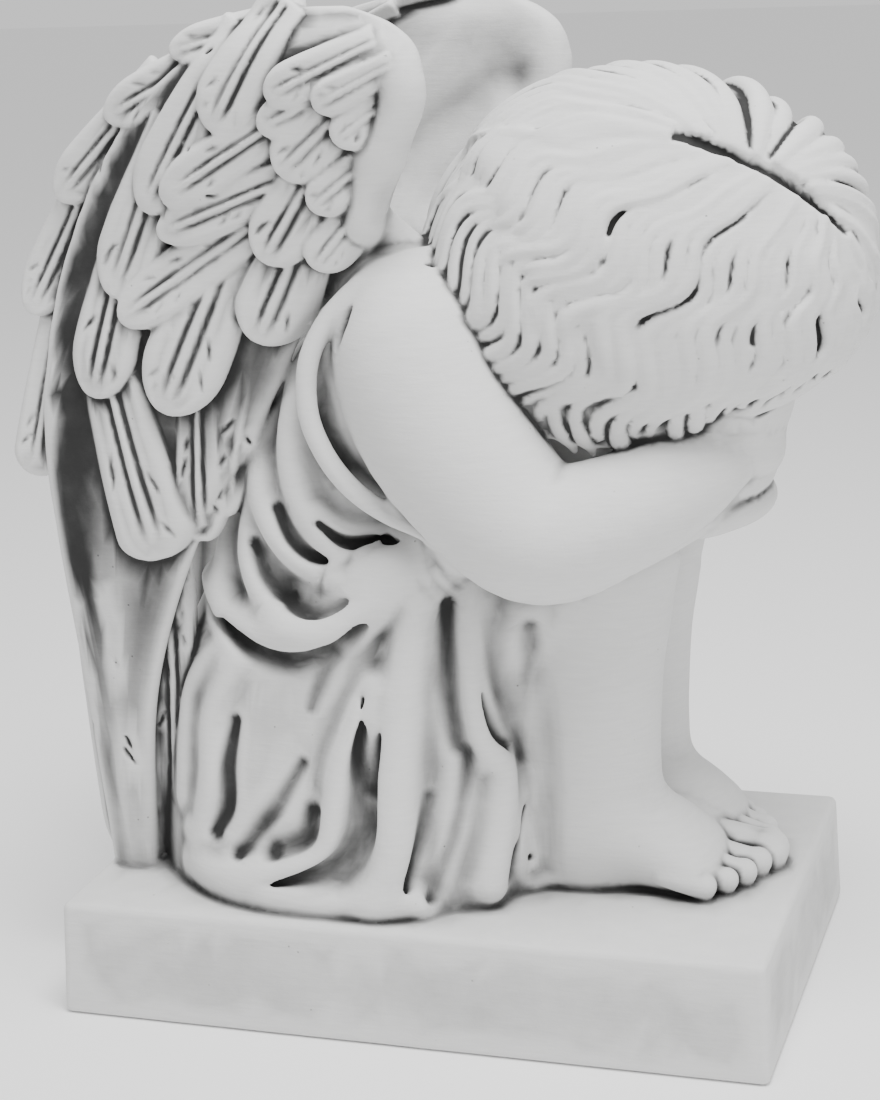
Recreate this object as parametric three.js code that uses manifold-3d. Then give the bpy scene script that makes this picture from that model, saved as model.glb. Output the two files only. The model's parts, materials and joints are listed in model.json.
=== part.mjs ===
// A seated weeping cherub with folded wings on a rectangular plinth, cast in one piece of stone.
// Millimetres. +X is the way the figure faces, +Y is its left side and +Z is up.
// The origin is the middle of the underside.
import * as THREE from "three";
import Module from "manifold-3d";

const wasm = await Module();
wasm.setup();

// ---------------------------------------------------------------- driving dimensions

// The plinth.
const PLINTH_LENGTH = 300;
const PLINTH_WIDTH = 190;
const PLINTH_HEIGHT = 50;
const PLINTH_DRAFT = 2;
const PLINTH_EDGE = 2.5;

// Sides of the rings that the forms are lofted from.
const BODY_SIDES = 20;
const LIMB_SIDES = 8;
const FOLD_SIDES = 4;

// The sides of the figure: the right one is towards -Y.
const RIGHT = -1;
const LEFT = 1;

// Torso in level sections: [height, middle x, half depth, half width].
const TORSO = [
  [125, -65, 56, 54],
  [168, -58, 53, 53],
  [218, -43, 48, 56],
  [262, -22, 44, 58],
  [296, -2, 40, 53],
  [318, 20, 24, 34],
  [332, 34, 14, 20],
];

// Skirt in level sections: [height, back x, front x, half width].
const SKIRT = [
  [PLINTH_HEIGHT - 1, -135, 42, 80],
  [84, -134, 41, 76],
  [130, -127, 39, 69],
  [166, -106, 34, 63],
  [190, -56, 28, 57],
  [204, -12, 22, 46],
];
const SKIRT_SQUARENESS = 0.62;
const HEM_FOLDS = 10;
const HEM_FOLD_DEPTH = 2.6;

// Legs of the left side: [x, y from between the legs, z, half width, half depth] along each.
const BETWEEN_LEGS = 15;
const THIGH = [
  [-58, 36, 104, 26, 28],
  [-14, 36, 130, 29, 30],
  [34, 32, 164, 28, 28],
  [66, 29, 184, 27, 26],
  [86, 28, 191, 15, 15],
];
const CALF = [
  [76, 28, 200, 14, 15],
  [72, 28, 183, 27, 27],
  [64, 29, 146, 28, 30],
  [61, 29, 112, 27, 31],
  [61, 29, 84, 26, 31],
  [60, 30, 60, 24, 29],
];
const FOOT = [
  [31, 36, 62, 9, 8],
  [38, 36, 67, 18, 18],
  [62, 34, 72, 21, 23],
  [88, 30, 68, 25, 22],
  [110, 28, 61, 28, 15],
  [124, 26, 57, 27, 9],
];
const FOOT_SOLE = PLINTH_HEIGHT - 1;

// The left foot stands this much nearer to the right one than its leg does.
const LEFT_FOOT_IN = 12;

// Toes of the left foot, from the big toe: [x, y from between the legs, half width, length].
const TOES = [
  [125, 6, 9, 17],
  [124, 20, 6.5, 14],
  [121, 31, 6, 13],
  [116, 41, 5.5, 12],
  [109, 50, 5.5, 11],
];
const TOE_HEIGHT = 57;

// Arm of the left side: [x, y, z, half width, half depth] from the shoulder to the fingers.
const ARM = [
  [-4, 26, 298, 22, 20],
  [0, 41, 284, 33, 33],
  [13, 50, 252, 33, 35],
  [38, 56, 218, 31, 33],
  [58, 58, 204, 31, 30],
  [84, 50, 213, 25, 25],
  [106, 34, 228, 20, 21],
  [119, 20, 236, 15, 17],
  [127, 4, 236, 14, 16],
  [128, -10, 232, 8, 10],
];

// The head with its mass of hair: an ellipsoid bowed forward and leaning to the right.
const HEAD_MIDDLE = new THREE.Vector3(93, -5, 310);
const HEAD_HALF = new THREE.Vector3(88, 60, 77);
const HEAD_BOW = THREE.MathUtils.degToRad(12);
const PARTING_GAP = 0.05;
const PARTING_LEAN = THREE.MathUtils.degToRad(-42);
const PARTING_BACK = THREE.MathUtils.degToRad(2);
const PARTING_FRONT = THREE.MathUtils.degToRad(58);
const LOCKS_RIGHT = 15;
const LOCKS_LEFT = 9;
const LOCK_ROWS = 9;
const LOCK_WAVE = 0.05;
const LOCK_WAVES = 2.2;
const LOCK_RELIEF = 0.045;
const HAIR_FALL = 0.3;

// Where the locks end, as directions from the middle of the head: [forward, left, up].
const HEM_OF_HAIR_RIGHT = [
  [-0.9, -0.25, -0.35],
  [-0.7, -0.6, -0.6],
  [-0.36, -0.75, -0.86],
  [0.1, -0.66, -0.88],
  [0.5, -0.5, -0.66],
  [0.88, -0.12, -0.32],
];
const HEM_OF_HAIR_LEFT = [
  [-0.88, 0.2, -0.35],
  [-0.7, 0.65, -0.5],
  [-0.3, 0.85, -0.7],
  [0.2, 0.8, -0.75],
  [0.55, 0.55, -0.58],
  [0.9, 0.1, -0.3],
];

// The neck and the hidden face: [x, y, z, half width, half depth].
const NECK = [
  [0, 0, 292, 34, 26],
  [34, -2, 304, 36, 30],
  [70, -4, 306, 38, 36],
];
const FACE = [
  [82, -4, 300, 30, 30],
  [98, -4, 282, 42, 44],
  [112, -3, 262, 38, 36],
  [118, -3, 246, 22, 20],
];

// The wing in level sections: [height, trailing x, leading x, middle y, half thickness].
const WING = [
  [PLINTH_HEIGHT - 1, -147, -127, 47, 7],
  [130, -153, -119, 50, 7],
  [200, -160, -94, 51, 9],
  [245, -163, -66, 50, 10],
  [285, -158, -46, 47, 12],
  [314, -150, -22, 45, 13],
  [345, -134, -11, 49, 13],
  [374, -112, 0, 54, 13],
  [396, -86, 12, 58, 12],
  [414, -45, -8, 58, 4],
];
const WING_SIDES = 8;
// The left wing stands further forward at its top.
const LEFT_WING_ADVANCE = 27;

// Rows of feathers on the outer face, each laid between a few stations:
// [tip x, tip z, root x, root z, half width].
const FEATHER_ROWS = [
  {
    count: 6,
    lift: -7,
    thickness: 5,
    stations: [
      [-92, 402, -52, 404, 13],
      [-128, 374, -88, 388, 14],
      [-155, 340, -112, 366, 16],
      [-172, 292, -134, 332, 17],
      [-178, 250, -146, 300, 18],
      [-167, 208, -148, 262, 17],
    ],
  },
  {
    count: 2,
    lift: -3,
    thickness: 6,
    stations: [
      [-139, 42, -148, 250, 17],
      [-124, 46, -116, 230, 12],
    ],
  },
  {
    count: 7,
    lift: 0,
    thickness: 6,
    stations: [
      [-78, 378, -44, 398, 12],
      [-113, 342, -76, 378, 15],
      [-131, 303, -100, 350, 16],
      [-139, 260, -118, 318, 16],
      [-122, 204, -134, 270, 17],
      [-112, 190, -118, 272, 17],
      [-97, 197, -88, 274, 14],
      [-84, 200, -64, 280, 12],
    ],
  },
  {
    count: 6,
    lift: 3,
    thickness: 6,
    stations: [
      [-53, 396, -20, 409, 10],
      [-94, 346, -54, 374, 14],
      [-97, 330, -46, 352, 14],
      [-120, 295, -68, 330, 16],
      [-104, 256, -66, 304, 17],
      [-62, 284, -36, 320, 14],
    ],
  },
  {
    count: 5,
    lift: 5,
    thickness: 5,
    stations: [
      [-47, 384, -14, 400, 9],
      [-54, 371, -18, 388, 9],
      [-44, 352, -16, 374, 10],
      [-40, 338, -12, 358, 9],
      [-56, 317, -24, 344, 12],
      [-32, 310, -14, 332, 9],
    ],
  },
  {
    count: 3,
    lift: 7,
    thickness: 4,
    stations: [
      [-30, 382, -4, 392, 7],
      [-25, 369, -2, 380, 7],
      [-26, 354, -4, 366, 7],
      [-28, 332, -10, 346, 7],
    ],
  },
];
const FEATHER_SINK = 6;
const FEATHER_WIDTHS = [0.6, 1, 0.84, 0.42];
const FEATHER_PLACES = [0, 0.68, 0.9, 0.985];
// The left wing is seen less, and its feathers are fewer and broader.
const LEFT_FEATHER_SHARE = 0.62;
const LEFT_FEATHER_BREADTH = 1.35;

// Folds of the dress over the left side: [x, z, stand] along each, stand being out from the form.
const BODICE_FOLDS = [
  [[-40, 290, 0], [-52, 248, 3], [-46, 214, 4], [-22, 200, 4], [2, 204, 2]],
  [[-52, 276, 0], [-68, 236, 3], [-66, 198, 4], [-38, 180, 5], [2, 196, 2]],
  [[-64, 256, 0], [-82, 214, 3], [-84, 180, 4], [-56, 160, 5], [-2, 186, 3]],
];
const BODICE_FOLD_SIZE = [3.5, 4.5];
const ROLL_OF_WAIST = [[-96, 172, 1], [-84, 158, 2], [-58, 146, 4], [-30, 158, 5], [0, 186, 5]];
const ROLL_SIZE = [8, 9];
const SKIRT_FOLDS = [
  [[6, 190, -1], [-34, 150, 3], [-76, 104, 3], [-108, 56, 2]],
  [[8, 188, -1], [-20, 144, 4], [-48, 98, 5], [-72, 54, 4]],
  [[12, 186, -1], [0, 140, 5], [-16, 96, 5], [-26, 54, 5]],
  [[18, 184, -1], [20, 140, 6], [18, 96, 5], [16, 54, 5]],
  [[24, 180, 0], [32, 140, 7], [37, 96, 6], [38, 54, 6]],
];
const SKIRT_FOLD_SIZE = [4, 8];
// The cloth gathered under the elbow, where the folds meet: [x, y, z, half width, half depth].
const GATHER = [
  [-26, 42, 172, 14, 14],
  [-8, 45, 186, 19, 17],
  [14, 47, 196, 13, 12],
];
const ARMHOLE = [
  [8, 40, 316],
  [-20, 56, 304],
  [-34, 62, 272],
  [-29, 63, 242],
  [-14, 62, 222],
  [10, 60, 208],
];
const ARMHOLE_SIZE = 4;

// ---------------------------------------------------------------- closed bodies

// Turns points and triangles into a solid, with its faces outward.
function solidOf(points, triangles) {
  let volume = 0;
  for (const [a, b, c] of triangles) {
    volume += points[a].dot(points[b].clone().cross(points[c]));
  }
  const outward = volume > 0 ? triangles : triangles.map(([a, b, c]) => [a, c, b]);
  return new wasm.Manifold(
    new wasm.Mesh({
      numProp: 3,
      vertProperties: new Float32Array(points.flatMap((point) => point.toArray())),
      triVerts: new Uint32Array(outward.flat()),
    }),
  );
}

// A closed body through rings of equal count, with a fan over each end.
function closedLoft(rings) {
  const sides = rings[0].length;
  const points = rings.flat();
  const triangles = [];
  for (let ring = 0; ring < rings.length - 1; ring += 1) {
    for (let side = 0; side < sides; side += 1) {
      const a = ring * sides + side;
      const b = ring * sides + ((side + 1) % sides);
      triangles.push([a, b, b + sides], [a, b + sides, a + sides]);
    }
  }
  const last = (rings.length - 1) * sides;
  for (const [start, flip] of [[0, true], [last, false]]) {
    const middle = new THREE.Vector3();
    for (let side = 0; side < sides; side += 1) {
      middle.addScaledVector(points[start + side], 1 / sides);
    }
    points.push(middle);
    for (let side = 0; side < sides; side += 1) {
      const a = start + side;
      const b = start + ((side + 1) % sides);
      triangles.push(flip ? [b, a, points.length - 1] : [a, b, points.length - 1]);
    }
  }
  return solidOf(points, triangles);
}

// Points round a unit circle.
function roundShape(sides) {
  return Array.from({ length: sides }, (_, side) => {
    const turn = (2 * Math.PI * side) / sides;
    return [Math.cos(turn), Math.sin(turn)];
  });
}

// A crowned blade, with its edges thin.
const BLADE_SHAPE = [[1, -0.3], [0.5, 0.9], [-0.5, 0.9], [-1, -0.3]];

// Evenly spread values from 0 to 1.
function spread(count) {
  return Array.from({ length: count }, (_, step) => step / (count - 1));
}

// A smooth curve of numbers: each entry of the table is one station.
function tableCurve(table) {
  const head = new THREE.CatmullRomCurve3(table.map((row) => new THREE.Vector3(row[0], row[1], row[2] ?? 0)));
  const tail = new THREE.CatmullRomCurve3(table.map((row) => new THREE.Vector3(row[3] ?? 0, row[4] ?? 0, 0)));
  return (place) => {
    const first = head.getPoint(place);
    const second = tail.getPoint(place);
    return [first.x, first.y, first.z, second.x, second.y];
  };
}

// A body swept along [x, y, z, half width, half height] stations; `wide` is the way of its width.
function swept(stations, wide, shape, places) {
  const at = tableCurve(stations);
  const path = new THREE.CatmullRomCurve3(stations.map((row) => new THREE.Vector3(row[0], row[1], row[2])));
  const rings = places.map((place) => {
    const [x, y, z, halfWidth, halfHeight] = at(place);
    const along = path.getTangent(place);
    const across = wide.clone().addScaledVector(along, -wide.dot(along)).normalize();
    const out = across.clone().cross(along);
    return shape.map(([right, up]) =>
      new THREE.Vector3(x, y, z)
        .addScaledVector(across, right * halfWidth)
        .addScaledVector(out, up * halfHeight),
    );
  });
  return closedLoft(rings);
}

// The same stations on the given side of the figure.
function onSide(stations, side) {
  return stations.map(([x, y, z, ...sizes]) => [x, y * side, z, ...sizes]);
}

// The same for the legs, which lean together towards the left.
function legOn(stations, side) {
  return stations.map(([x, y, z, ...sizes]) => [x, y * side + BETWEEN_LEGS, z, ...sizes]);
}

// The same for the feet.
function footOn(stations, side) {
  const shift = BETWEEN_LEGS - (side === LEFT ? LEFT_FOOT_IN : 0);
  return stations.map(([x, y, z, ...sizes]) => [x, y * side + shift, z, ...sizes]);
}

// Reads a table of level sections at a height.
function levelAt(table, height) {
  const last = table.length - 1;
  if (height <= table[0][0]) return table[0];
  if (height >= table[last][0]) return table[last];
  const upper = table.findIndex((row) => row[0] > height);
  const [low, high] = [table[upper - 1], table[upper]];
  const share = (height - low[0]) / (high[0] - low[0]);
  return low.map((value, column) => THREE.MathUtils.lerp(value, high[column], share));
}

// ---------------------------------------------------------------- plinth

function plinth() {
  const outline = (height, grow) => {
    const halfLength = PLINTH_LENGTH / 2 + grow;
    const halfWidth = PLINTH_WIDTH / 2 + grow;
    const cut = PLINTH_EDGE;
    const corners = [[1, 1], [-1, 1], [-1, -1], [1, -1]];
    return corners.flatMap(([sx, sy]) => {
      const along = new THREE.Vector3(sx * (halfLength - cut), sy * halfWidth, height);
      const aside = new THREE.Vector3(sx * halfLength, sy * (halfWidth - cut), height);
      return sx * sy > 0 ? [aside, along] : [along, aside];
    });
  };
  return closedLoft([
    outline(0, PLINTH_DRAFT - PLINTH_EDGE / 2),
    outline(PLINTH_EDGE / 2, PLINTH_DRAFT),
    outline(PLINTH_HEIGHT - PLINTH_EDGE, 0),
    outline(PLINTH_HEIGHT, -PLINTH_EDGE),
  ]);
}

// ---------------------------------------------------------------- dress and body

function torso() {
  const shape = roundShape(14);
  return closedLoft(
    TORSO.map(([height, middle, depth, width]) =>
      shape.map(([forward, left]) => new THREE.Vector3(middle + forward * depth, left * width, height)),
    ),
  );
}

// One point of the skirt's level outline; the front is squarer than the back.
function skirtPoint(turn, height, ripple) {
  const [, back, front, width] = levelAt(SKIRT, height);
  const [forward, left] = [Math.cos(turn), Math.sin(turn)];
  const squareness = THREE.MathUtils.lerp(1, SKIRT_SQUARENESS, (forward + 1) / 2);
  const drop = 1 - (height - PLINTH_HEIGHT) / (SKIRT[SKIRT.length - 1][0] - PLINTH_HEIGHT);
  const fold = 1 + (ripple * Math.cos(HEM_FOLDS * turn) * Math.max(drop, 0)) / width;
  const middle = (back + front) / 2;
  const depth = (front - back) / 2;
  const x = middle + Math.sign(forward) * Math.abs(forward) ** squareness * depth * fold;
  const y = Math.sign(left) * Math.abs(left) ** squareness * width * fold;
  return new THREE.Vector3(x, y, height);
}

function skirt() {
  const turns = spread(BODY_SIDES + 1).slice(0, BODY_SIDES).map((share) => share * 2 * Math.PI);
  return closedLoft(SKIRT.map(([height]) => turns.map((turn) => skirtPoint(turn, height, HEM_FOLD_DEPTH))));
}

// How far the dressed form reaches sideways at a place in its side view.
function formWidth(x, height) {
  let reach = 0;
  if (height >= TORSO[0][0]) {
    const [, middle, depth, width] = levelAt(TORSO, height);
    const share = Math.min(Math.abs(x - middle) / depth, 1);
    reach = width * Math.sqrt(1 - share * share);
  }
  if (height <= SKIRT[SKIRT.length - 1][0]) {
    const [, back, front, width] = levelAt(SKIRT, height);
    const share = Math.min(Math.abs(x - (back + front) / 2) / ((front - back) / 2), 1);
    const squareness = x > (back + front) / 2 ? 2 / SKIRT_SQUARENESS : 2;
    reach = Math.max(reach, width * (1 - share ** squareness) ** (1 / squareness));
  }
  return reach;
}

// A fold laid on the side of the dress.
function fold(line, [startSize, endSize], side) {
  const stations = line.map(([x, height, stand], step) => {
    const size = THREE.MathUtils.lerp(startSize, endSize, step / (line.length - 1));
    return [x, (formWidth(x, height) + stand - size * 0.6) * side, height, size, size];
  });
  return swept(stations, new THREE.Vector3(1, 0, 0.2), roundShape(FOLD_SIDES), spread(5));
}

function dress(side) {
  const rim = ARMHOLE.map((row) => [...row, ARMHOLE_SIZE, ARMHOLE_SIZE]);
  return [
    ...BODICE_FOLDS.slice(side === LEFT ? 1 : 0).map((line) => fold(line, BODICE_FOLD_SIZE, side)),
    ...SKIRT_FOLDS.slice(side === LEFT ? 2 : 0).map((line) => fold(line, SKIRT_FOLD_SIZE, side)),
    fold(ROLL_OF_WAIST, ROLL_SIZE, side),
    swept(onSide(GATHER, side), new THREE.Vector3(0, 1, 0), roundShape(6), spread(3)),
    swept(onSide(rim, side), new THREE.Vector3(0, 1, 0), roundShape(FOLD_SIDES), spread(6)),
  ];
}

// ---------------------------------------------------------------- limbs

function foot(side) {
  const shape = roundShape(LIMB_SIDES);
  const at = tableCurve(footOn(FOOT, side));
  const rings = spread(6).map((place) => {
    const [x, y, z, width, height] = at(place);
    return shape.map(([left, up]) =>
      new THREE.Vector3(x, y + left * width, Math.max(z + up * height, FOOT_SOLE)),
    );
  });
  return closedLoft(rings);
}

function toes(side) {
  return TOES.map(([x, y, width, length]) =>
    swept(
      footOn(
        [
          [x - length / 2, y, TOE_HEIGHT + 2, width, width],
          [x + length * 0.4, y - 1, TOE_HEIGHT, width, width],
          [x + length * 0.75, y - 1.5, TOE_HEIGHT, width * 0.6, width * 0.6],
        ],
        side,
      ),
      new THREE.Vector3(0, 1, 0),
      roundShape(5),
      spread(3),
    ),
  );
}

function limbs(side) {
  const round = roundShape(LIMB_SIDES);
  return [
    swept(legOn(THIGH, side), new THREE.Vector3(0, 1, 0), round, spread(5)),
    swept(legOn(CALF, side), new THREE.Vector3(0, 1, 0), round, spread(6)),
    swept(onSide(ARM, side), new THREE.Vector3(0.3, 1, 0.2), round, spread(11)),
    foot(side),
    ...toes(side),
  ];
}

// ---------------------------------------------------------------- head and hair

// A place on the hair's form from a direction: forward, left and up in the bowed head.
function headPlace(direction, reach) {
  const forward = new THREE.Vector3(Math.cos(HEAD_BOW), 0, -Math.sin(HEAD_BOW));
  const up = new THREE.Vector3(Math.sin(HEAD_BOW), 0, Math.cos(HEAD_BOW));
  return HEAD_MIDDLE.clone()
    .addScaledVector(forward, direction.x * HEAD_HALF.x * reach)
    .addScaledVector(new THREE.Vector3(0, 1, 0), direction.y * HEAD_HALF.y * reach)
    .addScaledVector(up, direction.z * HEAD_HALF.z * reach);
}

// A direction on the way from the parting to the hem of the hair, which the locks follow in waves.
function lockDirection(share, place, hem, side) {
  const turn = THREE.MathUtils.lerp(PARTING_BACK, PARTING_FRONT, share);
  const lean = PARTING_LEAN + PARTING_GAP * side;
  const start = new THREE.Vector3(
    Math.sin(turn),
    Math.cos(turn) * Math.sin(lean),
    Math.cos(turn) * Math.cos(lean),
  );
  const end = new THREE.CatmullRomCurve3(hem.map((row) => new THREE.Vector3(...row))).getPoint(share);
  const aside = 0.06 + 0.34 * Math.sin(Math.PI * share);
  const bow = new THREE.Vector3(-0.25 + 0.6 * share ** 2, aside * side, 0.35 - 0.2 * share);
  const middle = start.clone().add(end).multiplyScalar(0.5).add(bow).normalize().multiplyScalar(1.25);
  const path = new THREE.QuadraticBezierCurve3(start, middle, end);
  const direction = path.getPoint(place).normalize();
  const sideways = path.getTangent(place).cross(direction).normalize();
  const wave = LOCK_WAVE * Math.sin(2 * Math.PI * LOCK_WAVES * place + 5 * share) * place;
  return direction.addScaledVector(sideways, wave).normalize();
}

// The face, hidden between the arms and the hair, and the neck.
function face() {
  const round = roundShape(LIMB_SIDES);
  const wide = new THREE.Vector3(0, 1, 0);
  return [swept(NECK, wide, round, spread(4)), swept(FACE, wide, round, spread(6))];
}

// The head of hair: ridges and grooves run side by side from the parting to the hem.
function hair() {
  const columns = [];
  for (const [locks, hem, side] of [
    [LOCKS_RIGHT, HEM_OF_HAIR_RIGHT, RIGHT],
    [LOCKS_LEFT, HEM_OF_HAIR_LEFT, LEFT],
  ]) {
    const half = spread(2 * locks).map((share, step) => ({ share, hem, side, ridge: step % 2 }));
    columns.push(...(side === RIGHT ? half : half.reverse()));
  }
  const rows = spread(LOCK_ROWS).map((place) =>
    columns.map(({ share, hem, side, ridge }) => {
      const relief = LOCK_RELIEF * (ridge ? 1 : -1) * Math.min(1, 4 * place);
      const fall = HAIR_FALL * place ** 3 * Math.sin(Math.PI * Math.min(1, share + 0.25));
      return headPlace(lockDirection(share, place, hem, side), 1 + relief + fall);
    }),
  );
  return closedLoft(rows);
}

// ---------------------------------------------------------------- wings

// The wing's lean forward at a height: none at its foot, all of it from the shoulder up.
function advance(height, side) {
  const share = THREE.MathUtils.smoothstep(height, PLINTH_HEIGHT, 330);
  return side === LEFT ? LEFT_WING_ADVANCE * share : 0;
}

function wingBlade(side) {
  const shape = roundShape(WING_SIDES);
  return closedLoft(
    WING.map(([height, trailing, leading, middle, thickness]) => {
      const centre = (trailing + leading) / 2 + advance(height, side);
      const reach = (leading - trailing) / 2;
      return shape.map(([forward, out]) => {
        const left = middle + out * thickness * fullness(forward);
        return new THREE.Vector3(centre + forward * reach, left * side, height);
      });
    }),
  );
}

// How far the blade's outer face stands from the middle of the figure at a place in its side view.
function wingFace(x, height, side) {
  const [, trailing, leading, middle, thickness] = levelAt(WING, height);
  const centre = (trailing + leading) / 2 + advance(height, side);
  const forward = THREE.MathUtils.clamp((x - centre) / ((leading - trailing) / 2), -1, 1);
  return middle + thickness * fullness(forward) * Math.sqrt(1 - forward * forward);
}

// The wing is full towards its leading edge and thin towards its trailing edge.
function fullness(forward) {
  return forward > 0 ? 1 : 1 + 0.35 * forward;
}

// A feather on the wing's outer face.
function feather(station, lift, thickness, side) {
  const [tipX, tipZ, rootX, rootZ, halfWidth] = station;
  const tip = new THREE.Vector2(tipX + advance(tipZ, side), tipZ);
  const root = new THREE.Vector2(rootX + advance(rootZ, side), rootZ);
  const way = tip.clone().sub(root);
  const along = new THREE.Vector3(way.x, 0, way.y).normalize();
  const across = new THREE.Vector3(0, side, 0).cross(along);
  const rings = FEATHER_PLACES.map((place, step) => {
    const spot = root.clone().addScaledVector(way, place);
    const out = (wingFace(spot.x, spot.y, side) + lift - FEATHER_SINK * (1 - place)) * side;
    const centre = new THREE.Vector3(spot.x, out, spot.y);
    return BLADE_SHAPE.map(([right, up]) =>
      centre
        .clone()
        .addScaledVector(across, right * halfWidth * FEATHER_WIDTHS[step])
        .add(new THREE.Vector3(0, up * thickness * (0.5 + 0.5 * FEATHER_WIDTHS[step]) * side, 0)),
    );
  });
  return closedLoft(rings);
}

function feathers(side) {
  return FEATHER_ROWS.flatMap(({ count, lift, thickness, stations }) => {
    const at = tableCurve(stations);
    const laid = side === LEFT ? Math.max(2, Math.round(count * LEFT_FEATHER_SHARE)) : count;
    return spread(laid).map((place) => {
      const station = at(place);
      station[4] *= side === LEFT && count > 2 ? LEFT_FEATHER_BREADTH : 1;
      return feather(station, lift, thickness, side);
    });
  });
}

// The shoulder of the wing, where it grows out of the back.
function wingRoot(side) {
  const stations = onSide(
    [
      [0, 22, 298, 20, 12],
      [-18, 30, 318, 19, 12],
      [-24 + advance(336, side) / 2, 42, 338, 15, 12],
      [-10 + advance(362, side), 52, 362, 14, 12],
    ],
    side,
  );
  return swept(stations, new THREE.Vector3(1, 0, 0), roundShape(8), spread(5));
}

function wing(side) {
  return [wingBlade(side), wingRoot(side), ...feathers(side)];
}

// ---------------------------------------------------------------- the casting

const bodies = [plinth(), torso(), skirt(), ...face(), hair()];
for (const side of [RIGHT, LEFT]) {
  bodies.push(...limbs(side), ...dress(side), ...wing(side));
}
const casting = bodies.reduce((whole, body) => whole.add(body));

function geometryOf(manifold) {
  const mesh = manifold.getMesh();
  const geometry = new THREE.BufferGeometry();
  geometry.setAttribute("position", new THREE.BufferAttribute(mesh.vertProperties, 3));
  geometry.setIndex(new THREE.BufferAttribute(mesh.triVerts, 1));
  return geometry;
}

const castStone = new THREE.MeshStandardMaterial({ color: 0xcfcfcc, roughness: 0.88, metalness: 0 });
const angel = new THREE.Mesh(geometryOf(casting), castStone);
angel.name = "angel_casting";

const group = new THREE.Group();
group.add(angel);
export default group;
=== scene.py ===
import json
import math

import bpy
import numpy as np
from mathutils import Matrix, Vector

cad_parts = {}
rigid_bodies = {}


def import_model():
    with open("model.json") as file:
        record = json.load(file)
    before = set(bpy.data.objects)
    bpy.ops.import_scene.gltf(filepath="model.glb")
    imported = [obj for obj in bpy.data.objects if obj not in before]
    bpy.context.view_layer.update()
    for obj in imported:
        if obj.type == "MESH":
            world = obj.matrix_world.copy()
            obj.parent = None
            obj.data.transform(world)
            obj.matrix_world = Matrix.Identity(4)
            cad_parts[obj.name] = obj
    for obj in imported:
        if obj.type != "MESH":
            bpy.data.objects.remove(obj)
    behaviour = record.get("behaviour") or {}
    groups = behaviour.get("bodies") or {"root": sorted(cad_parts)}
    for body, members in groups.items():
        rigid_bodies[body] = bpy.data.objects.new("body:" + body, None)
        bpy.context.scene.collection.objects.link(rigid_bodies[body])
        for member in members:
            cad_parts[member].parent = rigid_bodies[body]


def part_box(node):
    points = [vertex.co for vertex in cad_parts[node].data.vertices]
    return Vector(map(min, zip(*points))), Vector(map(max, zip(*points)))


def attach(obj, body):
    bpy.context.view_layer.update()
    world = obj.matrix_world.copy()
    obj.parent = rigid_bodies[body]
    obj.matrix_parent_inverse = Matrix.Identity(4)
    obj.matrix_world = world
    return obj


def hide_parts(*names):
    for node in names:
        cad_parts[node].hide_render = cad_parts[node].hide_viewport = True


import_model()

import openvdb
from mathutils import Matrix, Vector

bl_info = {
    "name": "Cemetery angel",
    "version": (1, 0, 0),
    "blender": (4, 5, 0),
    "location": "3D View > Sidebar > Angel",
    "description": "Carves a seated weeping cherub with folded wings, cast in stone on its plinth",
    "category": "Object",
}

# The casting is carved as a distance field in millimetres, less than 0 in the stone, and then
# turned into one mesh in metres. +X is the way the figure faces and +Y is its left side.
NODE = "angel_casting"
MM = 0.001
RIGHT, LEFT = -1, 1
FAR = 30.0
# Directions that the width of a form is measured along.
AHEAD, ASIDE, ACROSS_LIMB = (1, 0, 0), (0, 1, 0), (0.3, 1, 0.2)
LOW, HIGH = (np.array(tuple(corner), float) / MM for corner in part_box(NODE))
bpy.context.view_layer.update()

# ------------------------------------------------------------------ sizes of the casting

PLINTH_LENGTH, PLINTH_WIDTH, PLINTH_HEIGHT = 300.0, 190.0, 50.0
PLINTH_DRAFT = 2.0
PLINTH_ROUND = 3.0

# Torso in level sections: [height, middle x, half depth, half width].
TORSO = [
    [125, -65, 56, 54],
    [168, -58, 53, 53],
    [218, -43, 48, 56],
    [262, -22, 44, 58],
    [296, -2, 40, 53],
    [318, 20, 24, 34],
    [332, 34, 14, 20],
]

# Skirt in level sections: [height, back x, front x, half width].
SKIRT = [
    [49, -135, 42, 80],
    [84, -134, 41, 76],
    [130, -127, 39, 69],
    [166, -106, 34, 63],
    [190, -56, 28, 57],
    [204, -12, 22, 46],
]
SKIRT_SQUARENESS = 0.62

# Limbs of the left side: [x, y, z, half width, half depth]; the legs count y from between them.
BETWEEN_LEGS = 15
THIGH = [
    [-58, 36, 104, 26, 28],
    [-14, 36, 130, 29, 30],
    [34, 32, 164, 28, 28],
    [66, 29, 184, 27, 26],
    [86, 28, 191, 15, 15],
]
CALF = [
    [76, 28, 200, 14, 15],
    [72, 28, 183, 27, 27],
    [64, 29, 146, 28, 30],
    [61, 29, 112, 27, 31],
    [61, 29, 84, 26, 31],
    [60, 30, 60, 24, 29],
]
FOOT = [
    [31, 36, 62, 9, 8],
    [38, 36, 67, 18, 18],
    [62, 34, 72, 21, 23],
    [86, 30, 68, 25, 21],
    [103, 29, 62, 27, 15],
    [112, 29, 58, 26, 9],
]
LEFT_FOOT_IN = 12
# Toes from the big toe: [x, y from between the legs, half width, length].
TOES = [
    [125, 5, 9, 17],
    [124, 21, 6.5, 14],
    [121, 33, 6, 13],
    [116, 43, 5.5, 12],
    [109, 52, 5.5, 11],
]
TOE_HEIGHT = 57
ARM = [
    [-4, 26, 298, 22, 20],
    [0, 41, 284, 33, 33],
    [13, 50, 252, 33, 35],
    [38, 56, 221, 30, 31],
    [58, 57, 210, 29, 28],
    [84, 50, 217, 24, 24],
    [106, 34, 228, 20, 21],
    [119, 20, 236, 15, 17],
    [127, 4, 236, 14, 16],
    [128, -10, 232, 8, 10],
]

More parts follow.
